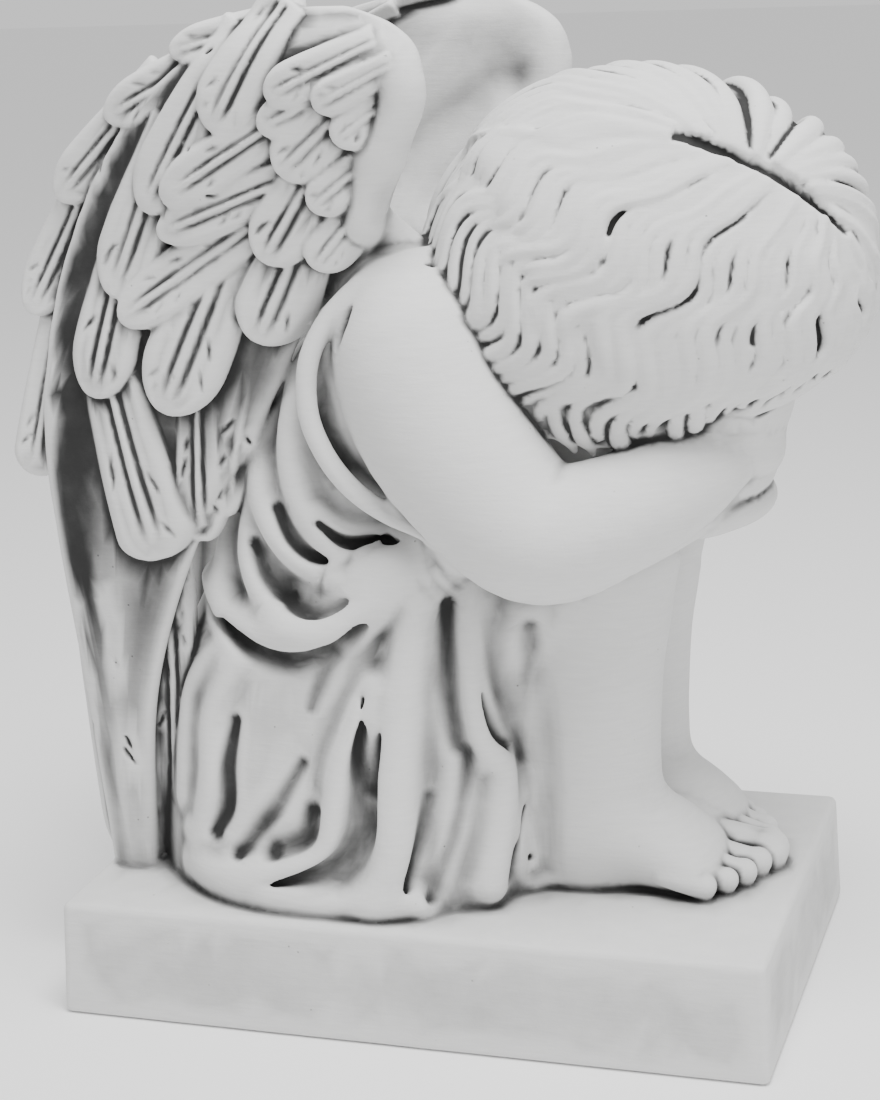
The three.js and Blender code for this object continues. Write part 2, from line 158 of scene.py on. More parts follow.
# The head with its mass of hair: an ellipsoid bowed forward, parted along a line leaning right.
HEAD_MIDDLE = np.array([93.0, -5.0, 310.0])
HEAD_HALF = np.array([88.0, 60.0, 77.0])
HEAD_BOW = math.radians(12)
PARTING_GAP = 0.05
PARTING_LEAN = math.radians(-42)
PARTING_BACK = math.radians(2)
PARTING_FRONT = math.radians(58)
LOCK_WAVES = 3.0
HAIR_FALL = 0.3
# Where the locks end, as directions from the middle of the head: [forward, left, up].
HEM_OF_HAIR = {
    RIGHT: [
        [-0.9, -0.25, -0.35],
        [-0.7, -0.6, -0.6],
        [-0.36, -0.75, -0.86],
        [0.1, -0.66, -0.88],
        [0.5, -0.5, -0.66],
        [0.88, -0.12, -0.32],
    ],
    LEFT: [
        [-0.88, 0.2, -0.35],
        [-0.7, 0.65, -0.5],
        [-0.3, 0.85, -0.7],
        [0.2, 0.8, -0.75],
        [0.55, 0.55, -0.58],
        [0.9, 0.1, -0.3],
    ],
}
NECK = [[0, 0, 292, 34, 26], [34, -2, 304, 36, 30], [70, -4, 306, 38, 36]]
FACE = [[82, -4, 300, 30, 30], [98, -4, 282, 42, 44], [112, -3, 262, 38, 36], [118, -3, 246, 22, 20]]

# The wing in level sections: [height, trailing x, leading x, middle y, half thickness].
WING = [
    [49, -147, -127, 47, 7],
    [130, -153, -119, 50, 7],
    [200, -160, -94, 51, 9],
    [245, -163, -66, 50, 10],
    [285, -158, -46, 47, 12],
    [314, -150, -22, 45, 13],
    [345, -134, -11, 49, 13],
    [374, -112, 0, 54, 13],
    [396, -86, 12, 58, 12],
    [408, -66, 4, 58, 9],
    [416, -42, -14, 58, 3],
]
LEFT_WING_ADVANCE = 27
TOP_OF_LEAN = 330
TRAILING_THINNESS = 0.35
# Thickness of the outer half of the blade under the feathers, as a share.
CORE_SHARE = 0.75
# Root of the wing in the back: [x, y, z, half width, half depth], and its share of the wing's lean.
WING_ROOT = [[0, 22, 298, 20, 12], [-18, 30, 318, 19, 12], [-24, 42, 338, 15, 12], [-10, 52, 362, 14, 12]]
WING_ROOT_LEAN = [0, 0, 0.5, 1]

# The smooth arm of the wing along its leading edge: [x, y, z, half thickness, half breadth].
WING_ARM = [
    [-49, 62, 391, 6, 10],
    [-30, 62, 397, 8, 12],
    [-6, 62, 396, 10, 13],
    [5, 60, 384, 10, 11],
    [-2, 57, 364, 10, 9],
    [-11, 53, 348, 10, 8],
    [-16, 50, 332, 10, 8],
]

# Feathers on a wing's outer face, by layer: [tip x, tip z, root x, root z, half width, lift].
FEATHER_LAYERS = {
    "trailing": [
        [-90, 400, -46, 411, 8, -2],
        [-122, 374, -72, 399, 10, -3],
        [-149, 341, -108, 381, 11, -4],
        [-168, 293, -138, 345, 12, -5],
        [-170, 224, -154, 300, 12, -6],
    ],
    "primary": [
        [-136, 46, -150, 250, 16, -6],
        [-119, 50, -110, 215, 11, -8],
        [-82, 210, -62, 284, 8, -4],
        [-92, 199, -88, 270, 11, -3],
        [-108, 193, -131, 282, 17.5, -1],
    ],
    "outer": [
        [-134, 261, -118, 322, 15.5, 0],
        [-123, 303, -97, 358, 15, 1],
        [-104, 338, -68, 393, 13.5, 2],
        [-69, 370, -46, 408, 14, 3],
    ],
    "middle": [
        [-101, 256, -72, 320, 18, 2],
        [-119, 294, -60, 331, 12.5, 2.6],
        [-59, 285, -38, 328, 15.5, 4],
        [-98, 329, -34, 353, 10.5, 4],
        [-94, 343, -42, 373, 11, 5],
    ],
    "inner": [
        [-53, 318, -29, 354, 13, 6],
        [-42, 353, -14, 378, 12, 6.5],
        [-48, 371, -18, 384, 8.5, 6],
        [-43, 383, -10, 398, 9.5, 7],
    ],
    "covert": [
        [-33, 315, -16, 336, 9.5, 7],
        [-31, 339, -10, 356, 8.5, 8],
        [-18, 365, -2, 377, 7.5, 9],
        [-24, 379, 0, 391, 7.5, 9],
    ],
}
FEATHER_THICKNESS = {"trailing": 5, "primary": 5.5, "outer": 5.5, "middle": 5, "inner": 4.5, "covert": 4}
FEATHER_SINK = 6
HIDDEN_ROOT = 0.3
LONG_FEATHER = 100
SLIT_SEED = 14
# How far down a feather its tip begins, as a share of its length.
SHORT_TIP, LONG_TIP = 0.74, 0.9


# ------------------------------------------------------------------ curves and fields

def unit(vectors):
    """Vectors at length 1."""
    return vectors / np.maximum(np.linalg.norm(vectors, axis=-1, keepdims=True), 1e-9)


def curve(stations, places):
    """Rows on a smooth curve through the stations, at places from 0 to 1."""
    rows = np.asarray(stations, float)
    ends = np.vstack([2 * rows[0] - rows[1], rows, 2 * rows[-1] - rows[-2]])
    steps = np.asarray(places, float) * (len(rows) - 1)
    first = np.clip(steps.astype(int), 0, len(rows) - 2)
    t = (steps - first)[:, None]
    a, b, c, d = (ends[first + offset] for offset in range(4))
    bend = 2 * a - 5 * b + 4 * c - d
    return 0.5 * (2 * b + (c - a) * t + bend * t**2 + (3 * b - a - 3 * c + d) * t**3)


def table_at(table, height):
    """The columns of a table of level sections at heights, run smoothly between them."""
    rows = curve(table, np.linspace(0, 1, 8 * len(table))).astype(np.float32)
    return [np.interp(height, rows[:, 0], rows[:, column]) for column in range(1, rows.shape[1])]


def on_side(stations, side, shift=0):
    """Stations of the left side carried to a side."""
    return [[x, y * side + shift, z, *sizes] for x, y, z, *sizes in stations]


def smooth_min(a, b, blend):
    """The lower of two fields, with a soft joint of a given width."""
    near = np.maximum(blend - np.abs(a - b), 0) / blend
    return np.minimum(a, b) - near * near * blend / 4


def smoothstep(value, low, high):
    share = np.clip((value - low) / (high - low), 0, 1)
    return share * share * (3 - 2 * share)


def oval(offsets, halves):
    """Distance to an oval from offsets along its axes and its half sizes."""
    scaled = sum((offset / half) ** 2 for offset, half in zip(offsets, halves))
    steep = sum((offset / half**2) ** 2 for offset, half in zip(offsets, halves))
    reach = np.sqrt(scaled)
    return reach * (reach - 1) / np.sqrt(np.maximum(steep, 1e-9))


class Block:
    """A block of space cut into cells, with a distance at each of their corners."""

    def __init__(self, low, high, step):
        self.low = np.asarray(low, float)
        self.step = step
        self.count = tuple(int(math.ceil(reach / step)) + 1 for reach in np.asarray(high) - self.low)
        self.distance = np.full(self.count, FAR, np.float32)

    def window(self, low, high):
        """The part between two corners: its slices and its x, y and z."""
        start = np.clip(np.floor((low - self.low) / self.step), 0, self.count).astype(int)
        stop = np.clip(np.ceil((high - self.low) / self.step) + 1, 0, self.count).astype(int)
        slices = tuple(slice(a, b) for a, b in zip(start, stop))
        axes = [
            (self.low[axis] + self.step * np.arange(start[axis], stop[axis])).astype(np.float32)
            for axis in range(3)
        ]
        return slices, np.meshgrid(*axes, indexing="ij", sparse=True)

    def join(self, slices, distance, blend):
        self.distance[slices] = smooth_min(self.distance[slices], distance, blend)

    def carve(self, slices, distance, blend):
        self.distance[slices] = -smooth_min(-self.distance[slices], distance, blend)

    def tube(self, line, blend, wide=None, carve=False):
        """Joins or carves a tube along a line of [x, y, z, radius] or [.., half width, half depth]."""
        margin = blend + 3 * self.step
        reach = line[:, 3:].max() + margin
        slices, _ = self.window(line[:, :3].min(0) - reach, line[:, :3].max(0) + reach)
        distance = np.full(self.distance[slices].shape, FAR, np.float32)
        for start, end in zip(line[:-1], line[1:]):
            low = np.minimum(start, end)[:3] - reach
            high = np.maximum(start, end)[:3] + reach
            part, places = self.window(low, high)
            inner = tuple(slice(a.start - b.start, a.stop - b.start) for a, b in zip(part, slices))
            found = stretch_distance(places, start, end, wide)
            distance[inner] = np.minimum(distance[inner], found)
        if carve:
            self.carve(slices, distance, blend)
        else:
            self.join(slices, distance, blend)


def stretch_distance(places, start, end, wide):
    """Distance to one straight stretch of a tube."""
    way = end[:3] - start[:3]
    length = max(float(np.linalg.norm(way)), 1e-6)
    along = way / length
    offset = [axis - float(value) for axis, value in zip(places, start[:3])]
    run = sum(o * float(a) for o, a in zip(offset, along))
    place = np.clip(run / length, 0, 1)
    if wide is None:
        squared = sum(o * o for o in offset) - run * run + (run - place * length) ** 2
        radius = float(start[3]) + float(end[3] - start[3]) * place
        return np.sqrt(np.maximum(squared, 0)) - radius
    across = unit(np.asarray(wide, float) - along * np.dot(wide, along))
    out = np.cross(across, along)
    halves = [float(start[i]) + float(end[i] - start[i]) * place for i in (3, 4)]
    sideways = sum(o * float(a) for o, a in zip(offset, across))
    outward = sum(o * float(a) for o, a in zip(offset, out))
    return oval([sideways, outward, run - place * length], [*halves, np.minimum(*halves)])


def spline_weights(share):
    """Weights of four neighbours on a smooth curve of numbers."""
    return [
        (1 - share) ** 3 / 6,
        (3 * share**3 - 6 * share**2 + 4) / 6,
        (-3 * share**3 + 3 * share**2 + 3 * share + 1) / 6,
        share**3 / 6,
    ]


def spread_values(values, low, step, block):
    """Values of a coarse lattice carried smoothly to a block's corners."""
    for axis in range(3):
        corners = block.low[axis] + block.step * np.arange(block.count[axis])
        place = (corners - low[axis]) / step
        first = np.floor(place).astype(int)
        shape = [1, 1, 1]
        shape[axis] = -1
        total = None
        for offset, weight in enumerate(spline_weights(place - first)):
            index = np.clip(first + offset - 1, 0, values.shape[axis] - 1)
            part = values.take(index, axis=axis)
            part *= weight.astype(np.float32).reshape(shape)
            total = part if total is None else np.add(total, part, out=total)
        values = total
    return values


def roughness(block, size, height, seed):
    """A gentle unevenness: hills of a given size and height."""
    low = block.low - 2 * size
    count = [int(reach * block.step / size) + 5 for reach in block.count]
    hills = np.random.default_rng(seed).uniform(-1, 1, count).astype(np.float32)
    return spread_values(hills * height, low, size, block)


def level_set(points, faces, block, slices):
    """Distance to closed meshes over a part of a block; points are in millimetres."""
    start = [part.start for part in slices]
    cells = ((points - block.low) / block.step).astype(np.float32)
    grid = openvdb.FloatGrid.createLevelSetFromPolygons(
        cells, quads=faces.astype(np.uint32), transform=openvdb.createLinearTransform(1.0), halfWidth=5.0
    )
    distance = np.empty(block.distance[slices].shape, np.float32)
    grid.copyToArray(distance, ijk=start)
    return distance * block.step


# ------------------------------------------------------------------ mesh and node helpers

def new_mesh(name, points, faces):
    """A mesh from points in millimetres and faces of equal size."""
    mesh = bpy.data.meshes.new(name)
    faces = np.asarray(faces, np.int32)
    mesh.vertices.add(len(points))
    mesh.vertices.foreach_set("co", (np.asarray(points) * MM).astype(np.float32).ravel())
    mesh.loops.add(faces.size)
    mesh.loops.foreach_set("vertex_index", faces.ravel())
    mesh.polygons.add(len(faces))
    mesh.polygons.foreach_set("loop_start", np.arange(0, faces.size, faces.shape[1], dtype=np.int32))
    mesh.update(calc_edges=True)
    return mesh


def new_object(name, mesh):
    thing = bpy.data.objects.new(name, mesh)
    bpy.context.scene.collection.objects.link(thing)
    return thing


def discard(*things):
    for thing in things:
        mesh = thing.data
        bpy.data.objects.remove(thing)
        if mesh.users == 0:
            bpy.data.batch_remove([mesh])


def mesh_arrays(mesh):
    """A mesh's points in millimetres and its faces as quads."""
    points = np.empty(len(mesh.vertices) * 3, np.float32)
    mesh.vertices.foreach_get("co", points)
    totals = np.empty(len(mesh.polygons), np.int32)
    mesh.polygons.foreach_get("loop_total", totals)
    starts = np.empty(len(mesh.polygons), np.int32)
    mesh.polygons.foreach_get("loop_start", starts)
    corners = np.empty(len(mesh.loops), np.int32)
    mesh.loops.foreach_get("vertex_index", corners)
    quads = corners[starts[totals == 4][:, None] + np.arange(4)]
    rest = []
    for start, total in zip(starts[totals != 4], totals[totals != 4]):
        face = corners[start:start + total]
        rest.extend([face[0], face[i], face[i + 1], face[i + 1]] for i in range(1, total - 1))
    faces = np.vstack([quads, np.array(rest, np.int32).reshape(-1, 4)])
    return points.reshape(-1, 3) / MM, faces


class Tree:
    """Builds a node tree with short calls."""

    def __init__(self, tree):
        self.tree = tree

    def node(self, kind, settings=None, **inputs):
        made = self.tree.nodes.new(kind)
        for name, value in (settings or {}).items():
            setattr(made, name, value)
        for name, value in inputs.items():
            self.feed(made.inputs[name.replace("_", " ")], value)
        return made

    def feed(self, socket, value):
        if isinstance(value, bpy.types.NodeSocket):
            self.tree.links.new(value, socket)
        else:
            socket.default_value = value

    def math(self, operation, *values):
        made = self.tree.nodes.new("ShaderNodeMath")
        made.operation = operation
        for socket, value in zip(made.inputs, values):
            self.feed(socket, value)
        return made.outputs[0]


def named(tree, name, kind="FLOAT"):
    made = tree.node("GeometryNodeInputNamedAttribute", {"data_type": kind}, Name=name)
    return made.outputs["Attribute"]


def applied(thing, group, values, name):
    """The plain mesh that a geometry node group makes of an object, in place of that object."""
    modifier = thing.modifiers.new(group.name, "NODES")
    modifier.node_group = group
    for item in group.interface.items_tree:
        if item.item_type == "SOCKET" and item.in_out == "INPUT" and item.name in values:
            modifier[item.identifier] = values[item.name]
    graph = bpy.context.evaluated_depsgraph_get()
    mesh = bpy.data.meshes.new_from_object(thing.evaluated_get(graph))
    thing.modifiers.clear()
    discard(thing)
    mesh.name = name
    return new_object(name, mesh)


# ------------------------------------------------------------------ feathers

BLADE_ROWS = 44
BLADE_COLUMNS = 36


def blade_width(place, tip_start):
    """Half width of a feather along it, as a share of its widest."""
    body = 0.78 + 0.22 * smoothstep(place, 0, tip_start)
    tip = np.sqrt(np.maximum(1 - ((place - tip_start) / (1 - tip_start)) ** 2, 0))
    return np.where(place < tip_start, body, tip)


def blade_height(across, place):
    """Height of a feather's face over its edge: a rim, a shallow trough and a quill."""
    edge = (1 - np.abs(across) ** 5) ** (1 / 2.2)
    rim = 0.13 * np.exp(-(((np.abs(across) - 0.74) / 0.16) ** 2))
    fade = 1 - smoothstep(place, 0.78, 0.95)
    quill = 0.3 * np.exp(-((across / 0.075) ** 2)) * fade
    furrow = -0.26 * np.exp(-(((np.abs(across) - 0.19) / 0.075) ** 2)) * fade
    return edge * (0.82 + rim + quill + furrow)


def feather_blade(name, tip_start):
    """One feather: half width, thickness and length 1, with its tip down at z = -1."""
    turns = np.linspace(0, math.pi, BLADE_COLUMNS)
    across = np.cos(turns)
    share = np.sin(np.linspace(0, math.pi / 2, BLADE_ROWS)) ** 0.9
    place, side = np.meshgrid(share * 0.998, across, indexing="ij")
    width = blade_width(place, tip_start)
    drop = 1 - 0.25 * smoothstep(place, tip_start, 1)
    face = blade_height(side, place) * drop
    points = []
    for height in (face, np.full_like(face, -0.35)):
        points.append(np.stack([side * width, height, -place], axis=-1))
    top = np.arange(BLADE_ROWS * BLADE_COLUMNS).reshape(BLADE_ROWS, BLADE_COLUMNS)
    ring = np.hstack([top, top[:, ::-1] + top.size])
    after = np.roll(ring, -1, axis=1)
    faces = np.stack([ring[:-1], after[:-1], after[1:], ring[1:]], axis=-1).reshape(-1, 4)
    under = top + top.size
    caps = [
        np.stack([top[row, :-1], top[row, 1:], under[row, 1:], under[row, :-1]], axis=-1)
        for row in (0, -1)
    ]
    mesh = new_mesh(name, np.concatenate([p.reshape(-1, 3) for p in points]) / MM, np.vstack([faces, *caps]))
    blade_place = mesh.attributes.new("place", "FLOAT", "POINT")
    blade_place.data.foreach_set("value", np.tile(place.ravel(), 2).astype(np.float32))
    return new_object(name, mesh)


def advance(height, side):
    """The wing's lean forward at a height."""
    return smoothstep(height, PLINTH_HEIGHT, TOP_OF_LEAN) * (LEFT_WING_ADVANCE if side == LEFT else 0)


def wing_face(x, height, side):
    """How far a wing's outer face stands from the middle of the figure."""
    trailing, leading, middle, thickness = table_at(WING, height)
    centre = (trailing + leading) / 2 + advance(height, side)
    forward = np.clip((x - centre) / ((leading - trailing) / 2), -1, 1)
    full = np.where(forward > 0, 1, 1 + TRAILING_THINNESS * forward)
    return middle + thickness * full * np.sqrt(1 - forward**2)


def wing_sheet(side):
    """A sheet that follows a wing's outer face, for the feathers to lie on."""
    x, z = np.meshgrid(np.arange(-200, 61, 3.0), np.arange(36, 433, 3.0), indexing="ij")
    points = np.stack([x, wing_face(x, z, side), z], axis=-1)
    index = np.arange(x.size).reshape(x.shape)
    corners = [index[:-1, :-1], index[1:, :-1], index[1:, 1:], index[:-1, 1:]]
    faces = np.stack(corners, -1).reshape(-1, 4)
    return new_object("wing_sheet", new_mesh("wing_sheet", points.reshape(-1, 3), faces))


def feather_places(side):
    """Each feather of a wing: [tip x, tip z, root x, root z, half width, lift, thickness]."""
    rows = [
        [*row, FEATHER_THICKNESS[layer]] for layer, feathers in FEATHER_LAYERS.items() for row in feathers
    ]
    places = np.array(rows, float)
    places[:, 2:4] += (places[:, 2:4] - places[:, 0:2]) * HIDDEN_ROOT
    places[:, 0] += advance(places[:, 1], side)
    places[:, 2] += advance(places[:, 3], side)
    return places


def feather_group():
    """Geometry nodes that lay a blade at each point and bend it to the wing's face."""
    group = bpy.data.node_groups.new("lay_feathers", "GeometryNodeTree")
    face = group.interface
    face.new_socket("Geometry", in_out="OUTPUT", socket_type="NodeSocketGeometry")
    face.new_socket("Geometry", in_out="INPUT", socket_type="NodeSocketGeometry")
    for name, kind in (
        ("Blade", "NodeSocketObject"),
        ("Wing face", "NodeSocketObject"),
        ("Side", "NodeSocketFloat"),
        ("Sink", "NodeSocketFloat"),
        ("Breadth", "NodeSocketFloat"),
        ("Material", "NodeSocketMaterial"),
    ):
        face.new_socket(name, in_out="INPUT", socket_type=kind)
    tree = Tree(group)
    given = tree.node("NodeGroupInput").outputs
    points = tree.node("GeometryNodeMeshToPoints", Mesh=given["Geometry"])
    blade = tree.node("GeometryNodeObjectInfo", Object=given["Blade"])
    broad = tree.node("ShaderNodeCombineXYZ", X=given["Breadth"], Y=1.0, Z=1.0)
    size = tree.node("ShaderNodeVectorMath", {"operation": "MULTIPLY"})
    tree.feed(size.inputs[0], named(tree, "size", "FLOAT_VECTOR"))
    tree.feed(size.inputs[1], broad.outputs[0])
    laid = tree.node(
        "GeometryNodeInstanceOnPoints",
        Points=points.outputs[0],
        Instance=blade.outputs["Geometry"],
        Rotation=named(tree, "turn", "FLOAT_VECTOR"),
        Scale=size.outputs[0],
    )
    real = tree.node("GeometryNodeRealizeInstances", Geometry=laid.outputs[0])
    spot = tree.node("GeometryNodeInputPosition")
    split = tree.node("ShaderNodeSeparateXYZ", Vector=spot.outputs[0])
    above = tree.node("ShaderNodeCombineXYZ", X=split.outputs[0], Y=1.0, Z=split.outputs[2])
    sheet = tree.node("GeometryNodeObjectInfo", Object=given["Wing face"])
    ray = tree.node(
        "GeometryNodeRaycast",
        Target_Geometry=sheet.outputs["Geometry"],
        Source_Position=above.outputs[0],
        Ray_Direction=(0.0, -1.0, 0.0),
        Ray_Length=2.0,
    )
    hit = tree.node("ShaderNodeSeparateXYZ", Vector=ray.outputs["Hit Position"])
    left = tree.math("SUBTRACT", 1.0, named(tree, "place"))
    sunk = tree.math("MULTIPLY", left, given["Sink"])
    stand = tree.math("SUBTRACT", tree.math("ADD", hit.outputs[1], split.outputs[1]), sunk)
    sided = tree.math("MULTIPLY", stand, given["Side"])
    placed = tree.node("ShaderNodeCombineXYZ", X=split.outputs[0], Y=sided, Z=split.outputs[2])
    bent = tree.node("GeometryNodeSetPosition", Geometry=real.outputs[0], Position=placed.outputs[0])
    done = tree.node("GeometryNodeRealizeInstances", Geometry=bent.outputs[0])
    stone = tree.node("GeometryNodeSetMaterial", Geometry=done.outputs[0], Material=given["Material"])
    tree.node("NodeGroupOutput", Geometry=stone.outputs[0])
    return group


def lay_feathers(side, blade, group, places, breadth):
    """The blades of one wing at the given places, as a mesh."""
    tips, roots = places[:, 0:2], places[:, 2:4]
    way = tips - roots
    points = np.stack([roots[:, 0], places[:, 5], roots[:, 1]], axis=-1)
    mesh = bpy.data.meshes.new("feather_roots")
    mesh.from_pydata((points * MM).tolist(), [], [])
    turn = mesh.attributes.new("turn", "FLOAT_VECTOR", "POINT")
    angles = np.arctan2(-way[:, 0], -way[:, 1])
    turn.data.foreach_set("vector", np.stack([angles * 0, angles, angles * 0], -1).astype(np.float32).ravel())
    size = mesh.attributes.new("size", "FLOAT_VECTOR", "POINT")
    lengths = np.linalg.norm(way, axis=1)
    sizes = np.stack([places[:, 4], places[:, 6], lengths], axis=-1) * MM
    size.data.foreach_set("vector", sizes.astype(np.float32).ravel())
    sheet = wing_sheet(side)
    values = {
        "Blade": blade,
        "Wing face": sheet,
        "Side": float(side),
        "Sink": FEATHER_SINK * MM,
        "Breadth": breadth,
    }
    feathers = applied(new_object("feather_roots", mesh), group, values, "feathers")
    discard(sheet)
    return feathers


def feather_slits(places, side):
    """Short cuts into the face of each feather, slanting from the quill to the edge."""
    chance = np.random.default_rng(SLIT_SEED)
    cuts = []
    for tip_x, tip_z, root_x, root_z, half_width, lift, thickness in places:
        root, tip = np.array([root_x, root_z]), np.array([tip_x, tip_z])
        length = np.linalg.norm(tip - root)
        along = (tip - root) / length
        across = np.array([along[1], -along[0]])
        for _ in range(int(2 + length / 40)):
            edge = chance.choice([-1, 1])
            place = chance.uniform(0.5, 0.9)
            cut = min(chance.uniform(0.45, 0.75) * half_width, 9)
            start = root + along * (place * length) + across * edge * half_width * chance.uniform(0.32, 0.5)
            slant = unit(along * chance.uniform(0.8, 1.2) + across * edge * chance.uniform(0.2, 0.6))
            line = []
            for share in (0, 0.5, 1):
                x, z = start + slant * cut * share
                stand = wing_face(np.array([x]), np.array([z]), side)[0]
                out = stand + lift - FEATHER_SINK * (1 - place) + thickness * 0.86
                line.append([x, out * side, z, 1.0 - 0.8 * abs(share - 0.4)])
            cuts.append(np.array(line))
    return cuts


# ------------------------------------------------------------------ hair

LOCK_POINTS = 70
# Round the head from the right ear: right half, brow, left half and nape, each with its main locks.
LOCKS = (15, 3, 11, 7)
# Two strands make a lock: how far they lie aside of its middle, and their half width, as shares of it.
UPPER_STRANDS = (-0.23, 0.23)
UPPER_WIDTH = 0.27
LOWER_STRANDS = (-0.27, 0.27)
LOWER_WIDTH = 0.25
LOWER_PHASE = 0.9
LONGEST = 1.04
HEM_REACHED = 0.93
LOCK_SEED = 5
# The way from the parting to the hem bows aside, ahead and up, and stands out in the middle.
BOW_ASIDE = (0.06, 0.34)
BOW_AHEAD = (-0.25, 0.6)
BOW_UP = (0.35, -0.2)
BOW_REACH = 1.25
CORE_DEPTH = 0.042
PARTING_DEPTH = 0.012
WAVE_TURNS = 2 * math.pi * 0.75
# Along the turn round the head: how far the locks wave aside, and how far down the upper ones go.
WAVE_SIZE = [
    [0, 0.085], [0.4, 0.08], [0.7, 0.045], [1, 0.035],
    [2, 0.035], [2.8, 0.07], [3.5, 0.08], [4, 0.085],
]
UPPER_END = [[0, 0.66], [0.3, 0.7], [0.42, 0.76], [0.58, 0.97], [2, 1], [2.6, 0.9], [3, 0.72], [4, 0.66]]


def half_directions(share, place, side):
    """Directions on the way from the parting to the hem of one half of the hair."""
    turn = PARTING_BACK + (PARTING_FRONT - PARTING_BACK) * share
    lean = PARTING_LEAN + PARTING_GAP * side
    start = np.array([math.sin(turn), math.cos(turn) * math.sin(lean), math.cos(turn) * math.cos(lean)])
    end = curve(HEM_OF_HAIR[side], [share])[0]
    aside = BOW_ASIDE[0] + BOW_ASIDE[1] * math.sin(math.pi * share)
    bow = np.array([BOW_AHEAD[0] + BOW_AHEAD[1] * share**2, aside * side, BOW_UP[0] + BOW_UP[1] * share])
    middle = unit((start + end) / 2 + bow) * BOW_REACH
    p = place[:, None]
    return unit((1 - p) ** 2 * start + 2 * p * (1 - p) * middle + p**2 * end)


def bare_directions(turn, place):
    """Directions of a path down the hair at a turn round the head, without its waves."""
    sector, part = int(turn) % 4, turn - int(turn)
    if sector == 0:
        return half_directions(part, place, RIGHT), part
    if sector == 2:
        return half_directions(1 - part, place, LEFT), 1 - part
    share, first, second = (1, RIGHT, LEFT) if sector == 1 else (0, LEFT, RIGHT)
    mixed = (1 - part) * half_directions(share, place, first) + part * half_directions(share, place, second)
    return unit(mixed), share


def head_points(directions, reach):
    """Places on the hair's form from directions: forward, left and up in the bowed head."""
    cosine, sine = math.cos(HEAD_BOW), math.sin(HEAD_BOW)
    axes = np.array([[cosine, 0, -sine], [0, 1, 0], [sine, 0, cosine]])
    return HEAD_MIDDLE + (directions * HEAD_HALF * np.reshape(reach, (-1, 1))) @ axes


def hair_path(turn, place, stand=0.0, wave=1.0, phase=0.0):
    """Points of a path down the hair; `stand` is its height over the form, as a share of the head."""
    directions, share = bare_directions(turn % 4, place)
    tangent = unit(np.gradient(directions, axis=0))
    sideways = unit(np.cross(tangent, directions))
    size = np.interp(turn % 4, *np.array(WAVE_SIZE).T) * wave
    swing = np.sin(2 * math.pi * LOCK_WAVES * place + WAVE_TURNS * turn + phase)
    directions = unit(directions + sideways * (size * swing * smoothstep(place, 0.05, 0.55))[:, None])
    fall = HAIR_FALL * place**3 * math.sin(math.pi * min(1, share + 0.25))
    return head_points(directions, 1 + fall + stand)


def hair_core():
    """The closed form under the locks, a little inside their faces."""
    place = np.linspace(0, 1, 40)
    turns = np.concatenate([np.linspace(0, 1, 36), [1.5], np.linspace(2, 3, 36), [3.3, 3.6]])
    depth = PARTING_DEPTH + (CORE_DEPTH - PARTING_DEPTH) * smoothstep(place, 0.04, 0.25)
    rings = np.stack([hair_path(turn, place, -depth, 0) for turn in turns], axis=1)
    return lofted(rings)


def strand(turn, start, end, stand, spacing, chance, phase=0.0):
    """One strand: its points, half widths and the way out of the head at each."""
    place = np.linspace(start, end, LOCK_POINTS)
    run = np.linspace(0, 1, LOCK_POINTS)
    curl = smoothstep(run, 0.78, 1)
    points = hair_path(turn, place, stand - 0.045 * curl**2, 1, phase)
    apart = np.linalg.norm(hair_path(turn + 0.02, place) - hair_path(turn - 0.02, place), axis=1) / 0.04
    width = np.clip(apart * spacing, 1.6, 4.8) * (1 + 0.1 * np.sin(9 * run + chance.uniform(0, 6)))
    width *= 1 - 0.55 * smoothstep(run, 0.84, 1)
    return points, width, unit(points - HEAD_MIDDLE)


def hair_strands():
    """Every strand of the hair: the main locks in pairs, and shorter locks below them."""
    chance = np.random.default_rng(LOCK_SEED)
    strands = []
    for sector, count in enumerate(LOCKS):
        for number in range(count):
            turn = sector + (number + 0.5 + chance.uniform(-0.12, 0.12)) / count
            end = np.interp(turn, *np.array(UPPER_END).T) + chance.uniform(-0.05, 0.05)
            lift = chance.uniform(-0.015, 0.015)
            phase = chance.uniform(-0.45, 0.45)
            for aside in UPPER_STRANDS:
                stand = lift - 0.02 + chance.uniform(-0.01, 0.01)
                length = min(end + chance.uniform(-0.04, 0.04), LONGEST)
                width = UPPER_WIDTH / count
                strands.append(strand(turn + aside / count, 0, length, stand, width, chance, phase))
            if end < HEM_REACHED:
                for aside in LOWER_STRANDS:
                    length = chance.uniform(0.98, 1.06)
                    stand = -0.05 + chance.uniform(-0.012, 0.012)
                    width = LOWER_WIDTH / count
                    begin, later = end - 0.3, phase + LOWER_PHASE
                    strands.append(strand(turn + aside / count, begin, length, stand, width, chance, later))
    return strands


def lofted(rings):
    """Points and quads of a closed body through rings, with a fan at each end."""
    rows, sides = rings.shape[:2]
    index = np.arange(rows * sides).reshape(rows, sides)
    after = np.roll(index, -1, axis=1)
    faces = [np.stack([index[:-1], after[:-1], after[1:], index[1:]], -1).reshape(-1, 4)]
    points = [rings.reshape(-1, 3)]
    for ring, middle in ((0, rows * sides), (rows - 1, rows * sides + 1)):
        points.append(rings[ring].mean(axis=0)[None])
        hub = np.full(sides, middle)
        faces.append(np.stack([index[ring], after[ring], hub, hub], -1))
    return np.vstack(points), np.vstack(faces)


